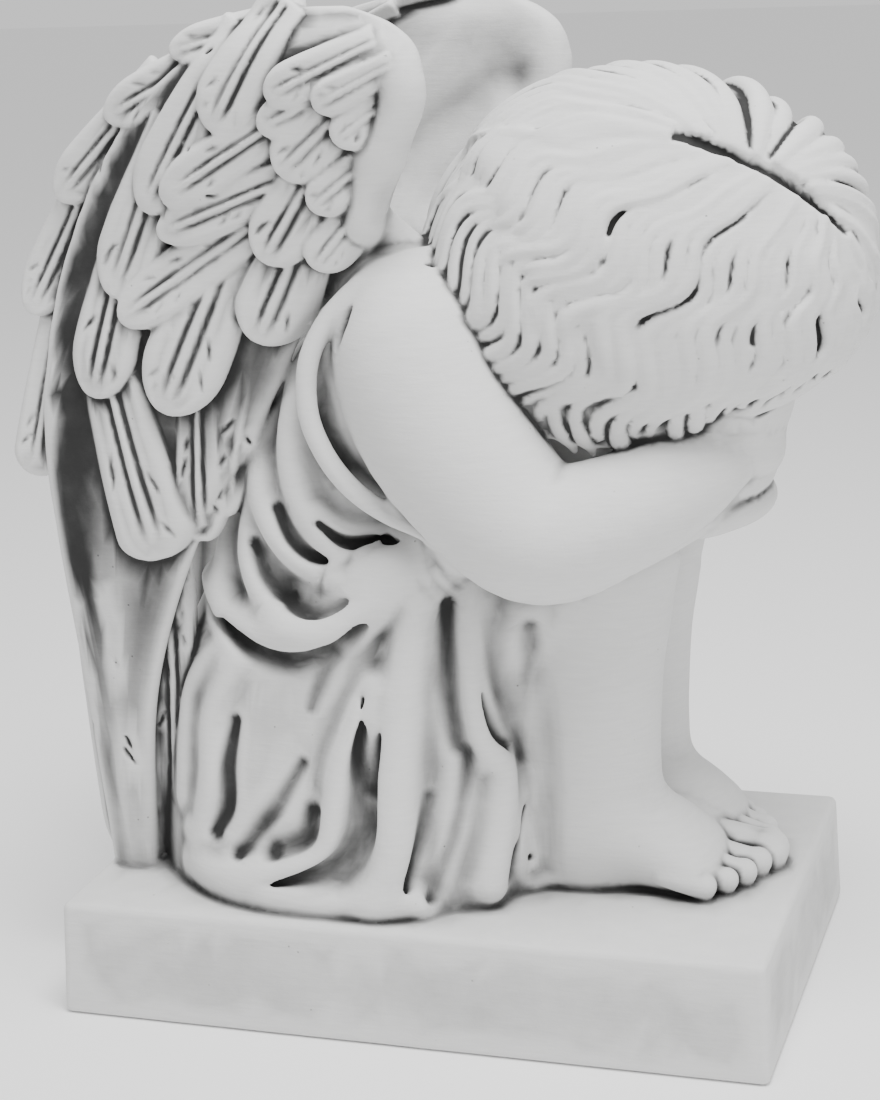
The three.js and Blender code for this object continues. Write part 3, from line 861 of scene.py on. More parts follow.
def lock_group():
    """Geometry nodes that sweep an oval section along each strand."""
    group = bpy.data.node_groups.new("comb_locks", "GeometryNodeTree")
    face = group.interface
    face.new_socket("Geometry", in_out="OUTPUT", socket_type="NodeSocketGeometry")
    face.new_socket("Geometry", in_out="INPUT", socket_type="NodeSocketGeometry")
    for name, kind in (
        ("Section", "NodeSocketObject"),
        ("Fullness", "NodeSocketFloat"),
        ("Material", "NodeSocketMaterial"),
    ):
        face.new_socket(name, in_out="INPUT", socket_type=kind)
    tree = Tree(group)
    given = tree.node("NodeGroupInput").outputs
    line = tree.node("GeometryNodeMeshToCurve", Mesh=given["Geometry"])
    outward = named(tree, "outward", "FLOAT_VECTOR")
    facing = tree.node("GeometryNodeSetCurveNormal", {"mode": "FREE"}, Curve=line.outputs[0], Normal=outward)
    radius = tree.math("MULTIPLY", named(tree, "width"), given["Fullness"])
    sized = tree.node("GeometryNodeSetCurveRadius", Curve=facing.outputs[0], Radius=radius)
    section = tree.node("GeometryNodeObjectInfo", Object=given["Section"])
    outline = tree.node("GeometryNodeMeshToCurve", Mesh=section.outputs["Geometry"])
    swept = tree.node(
        "GeometryNodeCurveToMesh",
        Curve=sized.outputs[0],
        Profile_Curve=outline.outputs[0],
        Scale=radius,
        Fill_Caps=True,
    )
    done = tree.node("GeometryNodeRealizeInstances", Geometry=swept.outputs[0])
    stone = tree.node("GeometryNodeSetMaterial", Geometry=done.outputs[0], Material=given["Material"])
    tree.node("NodeGroupOutput", Geometry=stone.outputs[0])
    return group


def lock_section():
    """The outline of a strand across: an oval of half width 1."""
    turn = np.linspace(0, 2 * math.pi, 14, endpoint=False)
    x = np.cos(turn) * 0.85
    y = np.sin(turn)
    mesh = bpy.data.meshes.new("lock_section")
    edges = [(step, (step + 1) % len(turn)) for step in range(len(turn))]
    mesh.from_pydata([(a, b, 0) for a, b in zip(x, y)], edges, [])
    return new_object("lock_section", mesh)


def comb_locks(fullness):
    """All the locks as one mesh."""
    lines = hair_strands()
    mesh = bpy.data.meshes.new("lock_lines")
    points = np.vstack([line[0] for line in lines]) * MM
    index = np.arange(len(points)).reshape(len(lines), -1)
    edges = np.stack([index[:, :-1], index[:, 1:]], axis=-1).reshape(-1, 2)
    mesh.from_pydata(points.tolist(), edges.tolist(), [])
    width = mesh.attributes.new("width", "FLOAT", "POINT")
    width.data.foreach_set("value", (np.concatenate([line[1] for line in lines]) * MM).astype(np.float32))
    outward = mesh.attributes.new("outward", "FLOAT_VECTOR", "POINT")
    outward.data.foreach_set("vector", np.vstack([line[2] for line in lines]).astype(np.float32).ravel())
    section = lock_section()
    values = {"Section": section, "Fullness": fullness}
    locks = applied(new_object("lock_lines", mesh), lock_group(), values, "locks")
    discard(section)
    return locks


# ------------------------------------------------------------------ the figure's field

def level_oval(places, table, top):
    """Distance to a form of oval level sections."""
    x, y, z = places
    middle, depth, width = table_at(table, z)
    side = oval([x - middle, y], [depth, width])
    return np.maximum(side, z - top)


def skirt_distance(places):
    """Distance to the skirt, whose level sections are squarer in front."""
    x, y, z = places
    back, front, width = table_at(SKIRT, z)
    depth = (front - back) / 2
    forward = (x - (back + front) / 2) / depth
    left = y / width
    power = 2 / (1 + (SKIRT_SQUARENESS - 1) * (np.clip(forward, -1, 1) + 1) / 2)
    ahead, aside = np.maximum(np.abs(forward), 1e-3), np.maximum(np.abs(left), 1e-3)
    reach = (ahead**power + aside**power) ** (1 / power)
    slope_x = ahead ** (power - 1) * reach ** (1 - power) / depth
    slope_y = aside ** (power - 1) * reach ** (1 - power) / width
    distance = (reach - 1) / np.sqrt(slope_x**2 + slope_y**2)
    return np.maximum(distance, z - SKIRT[-1][0])


def wing_distance(places, side):
    """Distance to a wing's blade under its feathers."""
    x, y, z = places
    trailing, leading, middle, thickness = table_at(WING, z)
    half = (leading - trailing) / 2
    forward = (x - (trailing + leading) / 2 - advance(z, side)) / half
    full = np.where(forward > 0, 1, 1 + TRAILING_THINNESS * np.maximum(forward, -1))
    outside = np.where(y * side > middle, CORE_SHARE, 1)
    distance = oval([forward * half, y * side - middle], [half + 0 * forward, thickness * full * outside])
    return np.maximum(distance, z - WING[-1][0])


def carve_body(block):
    """The rounded forms: body, skirt, limbs, neck and wings, run softly together."""
    everywhere = block.window(block.low, block.low + np.array(block.count) * block.step)
    slices, places = everywhere
    block.join(slices, level_oval(places, TORSO, TORSO[-1][0]), 1)
    block.join(slices, skirt_distance(places), 10)
    for side in (RIGHT, LEFT):
        block.join(slices, wing_distance(places, side), 8)
        root = np.array(on_side(WING_ROOT, side), float)
        root[:, 0] += WING_ROOT_LEAN * advance(root[:, 2], side)
        block.tube(curve(root, np.linspace(0, 1, 14)), 12, AHEAD)
        arm = curve(on_side(WING_ARM, side), np.linspace(0, 1, 24))
        arm[:, 0] += advance(arm[:, 2], side)
        block.tube(arm, 6, ASIDE)
    for line in (NECK, FACE):
        block.tube(curve(line, np.linspace(0, 1, 12)), 8, ASIDE)
    for side in (RIGHT, LEFT):
        shift = BETWEEN_LEGS - (LEFT_FOOT_IN if side == LEFT else 0)
        block.tube(curve(on_side(THIGH, side, BETWEEN_LEGS), np.linspace(0, 1, 24)), 6, ASIDE)
        block.tube(curve(on_side(CALF, side, BETWEEN_LEGS), np.linspace(0, 1, 24)), 6, ASIDE)
        block.tube(curve(on_side(FOOT, side, shift), np.linspace(0, 1, 24)), 8, ASIDE)
        block.tube(curve(on_side(ARM, side), np.linspace(0, 1, 40)), 5, ACROSS_LIMB)


# ------------------------------------------------------------------ drapery and small forms

def form_width(x, height):
    """How far the dressed form reaches sideways at a place in its side view."""
    reach = 0.0
    if height >= TORSO[0][0]:
        middle, depth, width = (float(v) for v in table_at(TORSO, height))
        share = min(abs(x - middle) / depth, 1)
        reach = width * math.sqrt(1 - share * share)
    if height <= SKIRT[-1][0]:
        back, front, width = (float(v) for v in table_at(SKIRT, height))
        share = min(abs(x - (back + front) / 2) / ((front - back) / 2), 1)
        power = 2 / SKIRT_SQUARENESS if x > (back + front) / 2 else 2
        reach = max(reach, width * (1 - share**power) ** (1 / power))
    return reach


def side_line(points, side, points_per_station=5):
    """A line over the side of the dress from [x, z, stand, radius] stations."""
    line = curve(points, np.linspace(0, 1, points_per_station * len(points)))
    return np.array([
        [x, (form_width(x, z) + stand) * side, z, max(radius, 0.4)] for x, z, stand, radius in line
    ])


# Raised folds and carved furrows of the dress: [x, z, stand out from the form, radius].
DRESS_RIDGES = [
    [[-40, 290, -3, 3], [-50, 250, 0, 4], [-45, 218, 1, 4.5], [-26, 202, 1, 4], [2, 202, 0, 3]],
    [[-52, 276, -3, 3], [-63, 242, 0, 4], [-64, 222, 2, 5], [-58, 207, 3, 5], [-46, 194, 3, 5],
     [-32, 188, 3, 5], [-14, 191, 2, 4]],
    [[-64, 256, -3, 3], [-72, 204, 0, 4], [-70, 189, 2, 5], [-62, 176, 3, 6], [-50, 168, 4, 6],
     [-34, 167, 4, 6], [-16, 178, 2, 4]],
    [[-42, 213, 0, 2], [-34, 200, 2, 4], [-24, 195, 2, 4], [-8, 193, 1, 3]],
    [[-88, 200, -2, 3], [-89, 184, 0, 4], [-86, 168, 0, 4]],
]
DRESS_FURROWS = [
    [[-56, 216, 3, 0.6], [-50, 204, 4, 2], [-42, 197, 4, 2], [-32, 195, 3, 1]],
    [[-38, 211, 4, 0.8], [-28, 202, 3, 2.6], [-12, 200, 2, 3], [0, 200, 1, 2]],
    [[-69, 200, 3, 1], [-62, 187, 4, 3], [-51, 178, 4, 3.4], [-36, 174, 3, 3.4], [-20, 180, 2, 3]],
    [[-102, 176, 0, 2], [-94, 170, 1, 3], [-83, 163, 1, 4], [-65, 156, 1, 4.5], [-50, 154, 1, 4.5],
     [-38, 158, 1, 5], [-24, 170, 1, 5], [-10, 186, 0, 4], [4, 198, 0, 4], [14, 205, 0, 3]],
    [[-34, 158, 2, 4], [-38, 148, 2, 3.4], [-42, 136, 2, 1]],
    [[-77, 126, 1, 1], [-81, 108, 2, 3.2], [-82, 90, 2, 3.8], [-87, 78, 2, 2]],
    [[-46, 112, 1, 1], [-55, 97, 2, 3.4], [-64, 84, 2, 5], [-75, 72, 3, 2]],
    [[-42, 92, 1, 3], [-46, 82, 2, 5], [-58, 76, 2, 5]],
    [[-18, 140, 1, 0.8], [-21, 118, 1, 3], [-18, 100, 2, 5.5], [-20, 84, 2, 6], [-32, 71, 3, 4],
     [-60, 61, 4, 1]],
    [[-8, 132, 1, 1], [-13, 114, 1, 2.4], [-15, 102, 1, 3]],
    [[14, 178, 0, 1], [15, 150, 1, 3], [18, 124, 1, 3], [22, 112, 1, 2], [18, 84, 1, 1.6], [9, 58, 2, 2]],
    [[9, 100, 2, 1], [4, 78, 3, 2], [-4, 58, 3, 1.5]],
    [[25, 140, 1, 1], [30, 124, 2, 2.4], [34, 116, 2, 1]],
    [[38, 88, 2, 1], [35, 62, 3, 2.4]],
]
SKIRT_RIDGES = [
    [[-80, 158, -2, 3], [-100, 136, -1, 4], [-104, 112, -1, 4], [-105, 88, -1, 4]],
    [[-78, 150, -2, 4], [-88, 126, -1, 5], [-89, 100, 0, 5], [-94, 78, 0, 4]],
    [[-99, 74, -2, 4], [-90, 63, 0, 5.5], [-68, 63, 1, 6], [-48, 68, 2, 6], [-34, 77, 2, 5.5],
     [-30, 96, 2, 5], [-27, 114, 1, 5], [-14, 144, 0, 4]],
    [[-100, 60, -2, 5], [-76, 55, 0, 6], [-40, 54, 2, 6], [-12, 57, 3, 6], [4, 55, 2, 5]],
    [[2, 178, -1, 5], [-2, 146, 0, 7], [-5, 106, 1, 9], [-6, 76, 2, 9], [-13, 58, 2, 8]],
    [[22, 182, -1, 4], [22, 152, 0, 4], [26, 124, 1, 5], [33, 106, 2, 6], [33, 84, 3, 6], [30, 60, 3, 7]],
    [[26, 176, -2, 4], [33, 151, -1, 5], [37, 128, 0, 5], [39, 105, 0, 5], [37, 82, 1, 5], [40, 56, 2, 6]],
]
ROLL_OF_WAIST = [[-96, 178, -2, 6], [-84, 168, -2, 7], [-58, 162, 0, 7], [-30, 170, 0, 7], [-6, 190, -1, 6]]
GATHER = [[-26, 42, 172, 14, 14], [-8, 45, 186, 19, 17], [14, 47, 196, 13, 12]]
ARMHOLE = [
    [8, 38, 318, 3.2],
    [-20, 54, 305, 4],
    [-35, 62, 284, 4.2],
    [-38, 64, 262, 4.2],
    [-33, 64, 244, 4.2],
    [-22, 63, 228, 4.2],
    [-6, 61, 216, 4],
    [14, 59, 208, 3.4],
]

ARMHOLE_INSET = [8, 4, -2, -1.8]


def dress_folds(block, depth):
    """Folds of the dress on both sides."""
    for side in (RIGHT, LEFT):
        block.tube(curve(on_side(GATHER, side), np.linspace(0, 1, 10)), 8, ASIDE)
        for stations in (*DRESS_RIDGES, *SKIRT_RIDGES, ROLL_OF_WAIST):
            block.tube(side_line(stations, side), 9)
        for stations in DRESS_FURROWS:
            line = side_line(stations, side)
            line[:, 3] *= depth
            block.tube(line, 5, carve=True)
        rim = np.array(on_side(ARMHOLE, side), float)
        block.tube(curve(rim, np.linspace(0, 1, 40)), 4)
        inside = rim + np.array(on_side([ARMHOLE_INSET], side)[0])
        block.tube(curve(inside, np.linspace(0, 1, 40)), 2.5, carve=True)


# The deep gap between the skirt's front edge and the leg: [x, y, z, radius].
LEG_GAP = [[46, -47, 166, 4], [47, -46, 148, 6], [48, -44, 120, 7], [48, -44, 90, 7.5], [48, -44, 60, 6.5]]
ANKLE_CREASES = [
    [[92, -36, 90, 0.6], [83, -42, 82, 1.6], [74, -44, 74, 0.6]],
    [[30, -36, 67, 1.4], [40, -40, 65, 1.6], [50, -42, 64, 0.5]],
]


def leg_gaps(block):
    """The gap beside each leg and the creases of the ankles."""
    for side in (RIGHT, LEFT):
        shift = 0 if side == RIGHT else BETWEEN_LEGS
        line = [[x, -y * side + shift, z, radius] for x, y, z, radius in LEG_GAP]
        block.tube(curve(line, np.linspace(0, 1, 16)), 4, carve=True)
    for line in ANKLE_CREASES:
        block.tube(curve(line, np.linspace(0, 1, 10)), 1.5, carve=True)


# The left hand's fingers, round the right wrist: [x, y, z, radius] of the highest one.
FINGER = [
    [124, 22, 246, 6.5],
    [130, 6, 245, 6.8],
    [128, -10, 243, 6.6],
    [118, -22, 240, 6],
    [112, -26, 238, 5],
]
FINGER_STEP = np.array([0.6, 0.5, -10.5, -0.1])
THUMB = [[88, -44, 196, 5], [100, -36, 204, 7], [113, -26, 212, 7.5], [122, -12, 216, 7]]


def hands(block):
    """Fingers of the left hand over the right wrist, and the right hand's edge below them."""
    for number in range(4):
        line = np.array(FINGER) + FINGER_STEP * number
        block.tube(curve(line, np.linspace(0, 1, 16)), 2.5)
    block.tube(curve(THUMB, np.linspace(0, 1, 12)), 3)


# A toe from root to tip: [share of its length ahead, aside, rise, share of its half width].
TOE = [[-1, 0, 3, 0.8], [-0.5, 0, 2, 0.92], [0.2, -1, -0.5, 0.9], [0.5, -1.5, -1, 0.95]]


def toes(block):
    """The toes of both feet."""
    for side in (RIGHT, LEFT):
        shift = BETWEEN_LEGS - (LEFT_FOOT_IN if side == LEFT else 0)
        for x, y, width, length in TOES:
            base = [
                [x + length * ahead, y + aside, TOE_HEIGHT + rise, width * share]
                for ahead, aside, rise, share in TOE
            ]
            block.tube(curve(on_side(base, side, shift), np.linspace(0, 1, 10)), 1.2)


def plinth(block):
    """The plinth, with soft edges and a slight draft."""
    # The forms over it stop inside the plinth.
    buried = int((PLINTH_HEIGHT / 2 - block.low[2]) / block.step)
    block.distance[:, :, :buried] = FAR
    low = np.array([-PLINTH_LENGTH / 2 - 8, -PLINTH_WIDTH / 2 - 8, -8])
    high = np.array([PLINTH_LENGTH / 2 + 8, PLINTH_WIDTH / 2 + 8, PLINTH_HEIGHT + 8])
    slices, (x, y, z) = block.window(low, high)
    draft = PLINTH_DRAFT * (1 - z / PLINTH_HEIGHT)
    ahead = np.abs(x) - PLINTH_LENGTH / 2 - draft + PLINTH_ROUND
    aside = np.abs(y) - PLINTH_WIDTH / 2 - draft + PLINTH_ROUND
    rise = np.abs(z - PLINTH_HEIGHT / 2) - PLINTH_HEIGHT / 2 + PLINTH_ROUND
    outside = np.sqrt(np.maximum(ahead, 0) ** 2 + np.maximum(aside, 0) ** 2 + np.maximum(rise, 0) ** 2)
    inside = np.minimum(np.maximum(np.maximum(ahead, aside), rise), 0)
    block.join(slices, outside + inside - PLINTH_ROUND, 3)


def join_mesh(block, thing, blend):
    """Joins a working mesh to the stone."""
    points, faces = mesh_arrays(thing.data)
    slices, _ = block.window(points.min(axis=0) - MARGIN, points.max(axis=0) + MARGIN)
    block.join(slices, level_set(points, faces, block, slices), blend)


# ------------------------------------------------------------------ the casting's mesh

# Room round the casting, the coarse block's cell, and the size, height and seed of its unevenness.
MARGIN = 6.0
COARSE_CELL = 2.0
HILL_SIZE, HILL_HEIGHT, HILL_SEED = 9.0, 0.12, 3

def soften(values, reach, rounds=1):
    """Values averaged over their neighbours along each axis."""
    for _ in range(rounds):
        for axis in range(3):
            before = np.take(values, np.clip(np.arange(values.shape[axis]) - reach, 0, None), axis=axis)
            after_index = np.clip(np.arange(values.shape[axis]) + reach, None, values.shape[axis] - 1)
            after = np.take(values, after_index, axis=axis)
            values = (before + 2 * values + after) * 0.25
    return values


def sample(values, block, points):
    """Values of a block at points in millimetres."""
    place = (points - block.low) / block.step
    first = np.clip(np.floor(place).astype(int), 0, np.array(values.shape) - 2)
    share = (place - first).astype(np.float32)
    total = np.zeros(len(points), np.float32)
    for corner in np.ndindex(2, 2, 2):
        weight = np.prod([share[:, a] if corner[a] else 1 - share[:, a] for a in range(3)], axis=0)
        index = first + np.array(corner)
        total += weight * values[index[:, 0], index[:, 1], index[:, 2]]
    return total


def surface(block):
    """The closed surface of the stone: points in millimetres and quads."""
    limit = 3 * block.step
    grid = openvdb.FloatGrid(limit)
    grid.copyFromArray(np.clip(block.distance, -limit, limit), tolerance=0.0)
    points, triangles, quads = grid.convertToPolygons(0.0, 0.0)
    return points.astype(float) * block.step + block.low, quads[:, ::-1]


def largest_part(points, faces):
    """Drops loose crumbs and sealed bubbles, keeping the body that most faces are part of."""
    label = np.arange(len(points))
    while True:
        lowest = label[faces].min(axis=1)
        changed = label.copy()
        for corner in range(faces.shape[1]):
            np.minimum.at(changed, faces[:, corner], lowest)
        changed = changed[changed]
        if np.array_equal(changed, label):
            break
        label = changed
    main = np.bincount(label[faces[:, 0]]).argmax()
    kept = faces[label[faces[:, 0]] == main]
    used, index = np.unique(kept, return_inverse=True)
    return points[used], index.reshape(kept.shape)


def decimated(thing, limit):
    """Thins a mesh of quads to a number of triangles, most where it is flat."""
    modifier = thing.modifiers.new("thin", "DECIMATE")
    modifier.ratio = limit / (2 * len(thing.data.polygons))
    graph = bpy.context.evaluated_depsgraph_get()
    mesh = bpy.data.meshes.new_from_object(thing.evaluated_get(graph))
    thing.modifiers.clear()
    discard(thing)
    return new_object(NODE + "_stone", mesh)


# ------------------------------------------------------------------ materials

def cast_stone(colours):
    """Pale cast stone, with dark wash left in its hollows, painted shade on the plinth's sides, a darker tone
    over the wings' outer faces and the dress, brush streaks and pores.
    """
    material = bpy.data.materials.new("cast_stone_and_painted_shade")
    material.use_nodes = True
    material.node_tree.nodes.clear()
    tree = Tree(material.node_tree)
    place = tree.node("ShaderNodeTexCoord").outputs["Object"]
    # The hollow attribute holds the dark wash in the hollows, a darker tone over the wings' outer faces and
    # the dress, and painted shade on the plinth's sides.
    hollow = tree.node("ShaderNodeAttribute", {"attribute_name": "hollow"}).outputs["Fac"]
    mottle = tree.node("ShaderNodeTexNoise", Vector=place, Scale=38.0, Detail=6.0, Roughness=0.6)
    grain = tree.node("ShaderNodeTexNoise", Vector=place, Scale=900.0, Detail=3.0, Roughness=0.65)
    stretch = tree.node(
        "ShaderNodeMapping", Vector=place, Scale=(90.0, 90.0, 700.0), Rotation=(0.3, 0.5, 0.0)
    )
    streak = tree.node("ShaderNodeTexNoise", Vector=stretch.outputs[0], Scale=1.0, Detail=4.0, Roughness=0.6)
    pores = tree.node("ShaderNodeTexVoronoi", Vector=place, Scale=160.0)
    pit = tree.node(
        "ShaderNodeMapRange",
        Value=pores.outputs["Distance"],
        From_Min=0.02,
        From_Max=0.09,
        To_Min=1.0,
        To_Max=0.0,
    )
    chance = tree.node("ShaderNodeTexNoise", Vector=place, Scale=60.0, Detail=1.0)
    rare = tree.node("ShaderNodeMapRange", Value=chance.outputs[0], From_Min=0.58, From_Max=0.66)
    holes = tree.math("MULTIPLY", pit.outputs[0], rare.outputs[0])
    cloud = tree.math("MULTIPLY", tree.math("SUBTRACT", mottle.outputs[0], 0.5), 0.35)
    patchy = tree.math("ADD", hollow, cloud)
    smooth = {"interpolation_type": "SMOOTHSTEP"}
    wash_and_shade = tree.node("ShaderNodeMapRange", smooth, Value=patchy, From_Min=0.05, From_Max=1.05)
    pale = tree.node("ShaderNodeMix", {"data_type": "RGBA"}, Factor=streak.outputs[0])
    pale.inputs["A"].default_value = (*[c * 0.9 for c in colours.stone], 1)
    pale.inputs["B"].default_value = (*[min(c * 1.06, 1) for c in colours.stone], 1)
    # Mixes the dark colour in by that attribute: wash in the hollows, and painted shade on the plinth's
    # sides.
    darkened = tree.node("ShaderNodeMix", {"data_type": "RGBA"}, Factor=wash_and_shade.outputs[0])
    tree.feed(darkened.inputs["A"], pale.outputs["Result"])
    darkened.inputs["B"].default_value = (*colours.wash_and_shade, 1)
    pitted = tree.node("ShaderNodeMix", {"data_type": "RGBA"}, Factor=tree.math("MULTIPLY", holes, 0.7))
    tree.feed(pitted.inputs["A"], darkened.outputs["Result"])
    pitted.inputs["B"].default_value = (*colours.wash_and_shade, 1)
    grains = tree.math("MULTIPLY", grain.outputs[0], 0.35)
    brushed = tree.math("MULTIPLY", streak.outputs[0], 0.5)
    height = tree.math("SUBTRACT", tree.math("ADD", grains, brushed), holes)
    bump = tree.node("ShaderNodeBump", Height=height, Strength=0.5, Distance=0.0005)
    shader = tree.node("ShaderNodeBsdfPrincipled", Roughness=0.88, Normal=bump.outputs[0])
    tree.feed(shader.inputs["Base Color"], pitted.outputs["Result"])
    shader.inputs["Specular IOR Level"].default_value = 0.3
    tree.node("ShaderNodeOutputMaterial", Surface=shader.outputs[0])
    return material


def plain(name, colour, rough):
    material = bpy.data.materials.new(name)
    material.use_nodes = True
    shader = material.node_tree.nodes["Principled BSDF"]
    shader.inputs["Base Color"].default_value = (*colour, 1)
    shader.inputs["Roughness"].default_value = rough
    return material


# ------------------------------------------------------------------ add-on

class AngelSizes(bpy.types.PropertyGroup):
    cell: bpy.props.FloatProperty(
        name="Cell", description="Cell of the carving block, in millimetres", default=0.8, min=0.6, max=3)
    fold_depth: bpy.props.FloatProperty(
        name="Fold depth", description="Depth of the dress's furrows, as a share", default=1.0, min=0, max=2,
        subtype="FACTOR")
    feather_breadth: bpy.props.FloatProperty(
        name="Feather breadth", description="Breadth of the feathers, as a share", default=1.0, min=0.5,
        max=1.5, subtype="FACTOR")
    lock_fullness: bpy.props.FloatProperty(
        name="Lock fullness", description="Thickness of the locks of hair, as a share", default=1.0, min=0.5,
        max=1.5, subtype="FACTOR")
    triangles: bpy.props.IntProperty(
        name="Triangles", description="Triangles of the finished casting", default=197000, min=20000,
        max=199000)


class AngelColours(bpy.types.PropertyGroup):
    stone: bpy.props.FloatVectorProperty(
        name="Stone", description="Colour of the bare cast stone", default=(0.66, 0.66, 0.655),
        subtype="COLOR", min=0, max=1)
    # The dark colour of the wash in the hollows and pores, also used for the painted shade on the plinth's
    # sides.
    wash_and_shade: bpy.props.FloatVectorProperty(
        name="Wash", description="Colour of the dark wash in the hollows", default=(0.022, 0.022, 0.022),
        subtype="COLOR", min=0, max=1)


class ANGEL_OT_feathers(bpy.types.Operator):
    """Lay the feathers of both wings"""
    bl_idname = "angel.feathers"
    bl_label = "Feathers"

    def execute(self, context):
        sizes = context.scene.angel_sizes
        group = feather_group()
        blades = {
            "short": feather_blade("short_blade", SHORT_TIP),
            "long": feather_blade("long_blade", LONG_TIP),
        }
        for side in (RIGHT, LEFT):
            places = feather_places(side)
            long = np.linalg.norm(places[:, :2] - places[:, 2:4], axis=1) > LONG_FEATHER
            for kind, chosen in (("short", ~long), ("long", long)):
                laid = lay_feathers(side, blades[kind], group, places[chosen], sizes.feather_breadth)
                laid.name = f"feathers_{kind}_{'right' if side == RIGHT else 'left'}"
        discard(*blades.values())
        return {"FINISHED"}


class ANGEL_OT_hair(bpy.types.Operator):
    """Comb the locks of hair from the parting to the hem"""
    bl_idname = "angel.hair"
    bl_label = "Hair"

    def execute(self, context):
        comb_locks(context.scene.angel_sizes.lock_fullness)
        return {"FINISHED"}


class ANGEL_OT_casting(bpy.types.Operator):
    """Carve the figure and its plinth, join the feathers and the hair, and cast them in one piece"""
    bl_idname = "angel.casting"
    bl_label = "Casting"

    def execute(self, context):
        sizes = context.scene.angel_sizes
        made = [thing for thing in context.scene.objects if thing.name.startswith(("feathers_", "locks"))]
        if len(made) < 5:
            raise RuntimeError("the feathers and the hair come before the casting")
        coarse = Block(LOW - MARGIN, HIGH + MARGIN, COARSE_CELL)
        carve_body(coarse)
        block = Block(LOW - MARGIN, HIGH + MARGIN, sizes.cell)
        block.distance = spread_values(coarse.distance, coarse.low, coarse.step, block)
        dress_folds(block, sizes.fold_depth)
        toes(block)
        hands(block)
        leg_gaps(block)
        core_points, core_faces = hair_core()
        slices, _ = block.window(core_points.min(axis=0) - MARGIN, core_points.max(axis=0) + MARGIN)
        block.join(slices, level_set(core_points, core_faces, block, slices), 1)
        for thing in made:
            join_mesh(block, thing, 0.8)
        for side in (RIGHT, LEFT):
            for cut in feather_slits(feather_places(side), side):
                block.tube(cut, 0.6, carve=True)
        plinth(block)
        block.distance += roughness(block, HILL_SIZE, HILL_HEIGHT, HILL_SEED)
        block.distance = soften(block.distance, 1)
        points, faces = largest_part(*surface(block))
        stone = decimated(new_object("rough_stone", new_mesh("rough_stone", points, faces)), sizes.triangles)
        finish_casting(stone, block, context.scene.angel_colours)
        discard(*made)
        return {"FINISHED"}


# How much darker the wings' feathered outer faces and the dress are made.
WING_DARKENING = 0.42
DRESS_DARKENING = 0.34
# Painted shade on the plinth's sides, below its pale top.
PLINTH_SIDE_SHADE = 0.28
HAIR_WASH = 0.7
FINE_HOLLOWS, BROAD_HOLLOWS = 0.6, 0.25
# The softened distances at which the stone counts as level and as hollow, in percent of its points.
LEVEL_AND_HOLLOW = (50, 13)


def on_wing(points):
    """How much a point belongs to a wing's feathered outer face, from 0 to 1."""
    x, y, z = points.T
    share = np.zeros(len(points))
    for side in (RIGHT, LEFT):
        trailing, leading, middle, thickness = table_at(WING, z)
        edge = leading + advance(z, side) - x
        outside = smoothstep(y * side - middle, -2, 3)
        share = np.maximum(share, outside * smoothstep(edge, 4, 14) * smoothstep(z, 52, 60))
    return share


def on_skin_and_hair(points):
    """How much a point belongs to an arm or a leg, and how much to the hair, from 0 to 1."""
    places = list(points.T.astype(np.float32))
    nearest = np.full(len(points), FAR)
    for side in (RIGHT, LEFT):
        shift = BETWEEN_LEGS - (LEFT_FOOT_IN if side == LEFT else 0)
        for table, across in ((CALF, BETWEEN_LEGS), (FOOT, shift), (ARM, 0)):
            line = curve(on_side(table, side, across), np.linspace(0, 1, 16))
            for start, end in zip(line[:-1], line[1:]):
                nearest = np.minimum(nearest, stretch_distance(places, start, end, ACROSS_LIMB))
    near_head = np.linalg.norm((points - HEAD_MIDDLE) / HEAD_HALF, axis=1)
    return 1 - smoothstep(nearest, 1.5, 5), 1 - smoothstep(near_head, 1.25, 1.35)


def hollow_share(values):
    """How hollow the stone is from its softened distances: 0 where level, 1 where hollow."""
    middle, deep = np.percentile(values, LEVEL_AND_HOLLOW)
    return np.clip((middle - values) / (middle - deep), -0.4, 1.4)


def finish_casting(stone, block, colours):
    """Smooth shading, the attribute of dark wash in the hollows with painted shade on the plinth's sides, the
    material and the frame calls.
    """
    mesh = stone.data
    mesh.polygons.foreach_set("use_smooth", np.ones(len(mesh.polygons), bool))
    points, _ = mesh_arrays(mesh)
    clipped = np.clip(block.distance, -8, 8)
    narrow = hollow_share(sample(soften(clipped, 2), block, points))
    wide = hollow_share(sample(soften(soften(clipped, 3), 6), block, points))
    # The wings' outer faces and the dress are made darker as a whole.
    wing = on_wing(points)
    skin, hair = on_skin_and_hair(points)
    hair = hair * (1 - skin) * (1 - wing)
    dress = (1 - wing) * (1 - np.maximum(skin, hair)) * smoothstep(points[:, 2], 51, 56)
    # Painted shade on the plinth's sides, below the top, which stays pale.
    low = 1 - smoothstep(points[:, 2], 46, 49)
    darkened = WING_DARKENING * wing + DRESS_DARKENING * dress + PLINTH_SIDE_SHADE * low
    hollow = FINE_HOLLOWS * narrow + BROAD_HOLLOWS * wide + darkened
    hollow += HAIR_WASH * hair * np.maximum(narrow, 0)
    # The attribute holds the dark wash in the hollows, the darker wings and dress, and painted shade on the
    # plinth's sides.
    layer = mesh.attributes.new("hollow", "FLOAT", "POINT")
    layer.data.foreach_set("value", np.clip(hollow, 0, 1).astype(np.float32))
    mesh.materials.clear()
    mesh.materials.append(cast_stone(colours))
    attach(stone, "root")
    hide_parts(NODE)


# Each lamp: its name, place and power. The sky lights the rest.
LAMPS = (("key", (0.25, -0.35, 1.5), 30), ("side", (1.3, -0.9, 0.9), 5))
LAMP_AIM, LAMP_SIZE = (0, 0, 0.2), 0.7
SKY = 0.85
FLOOR_REACH = 9000


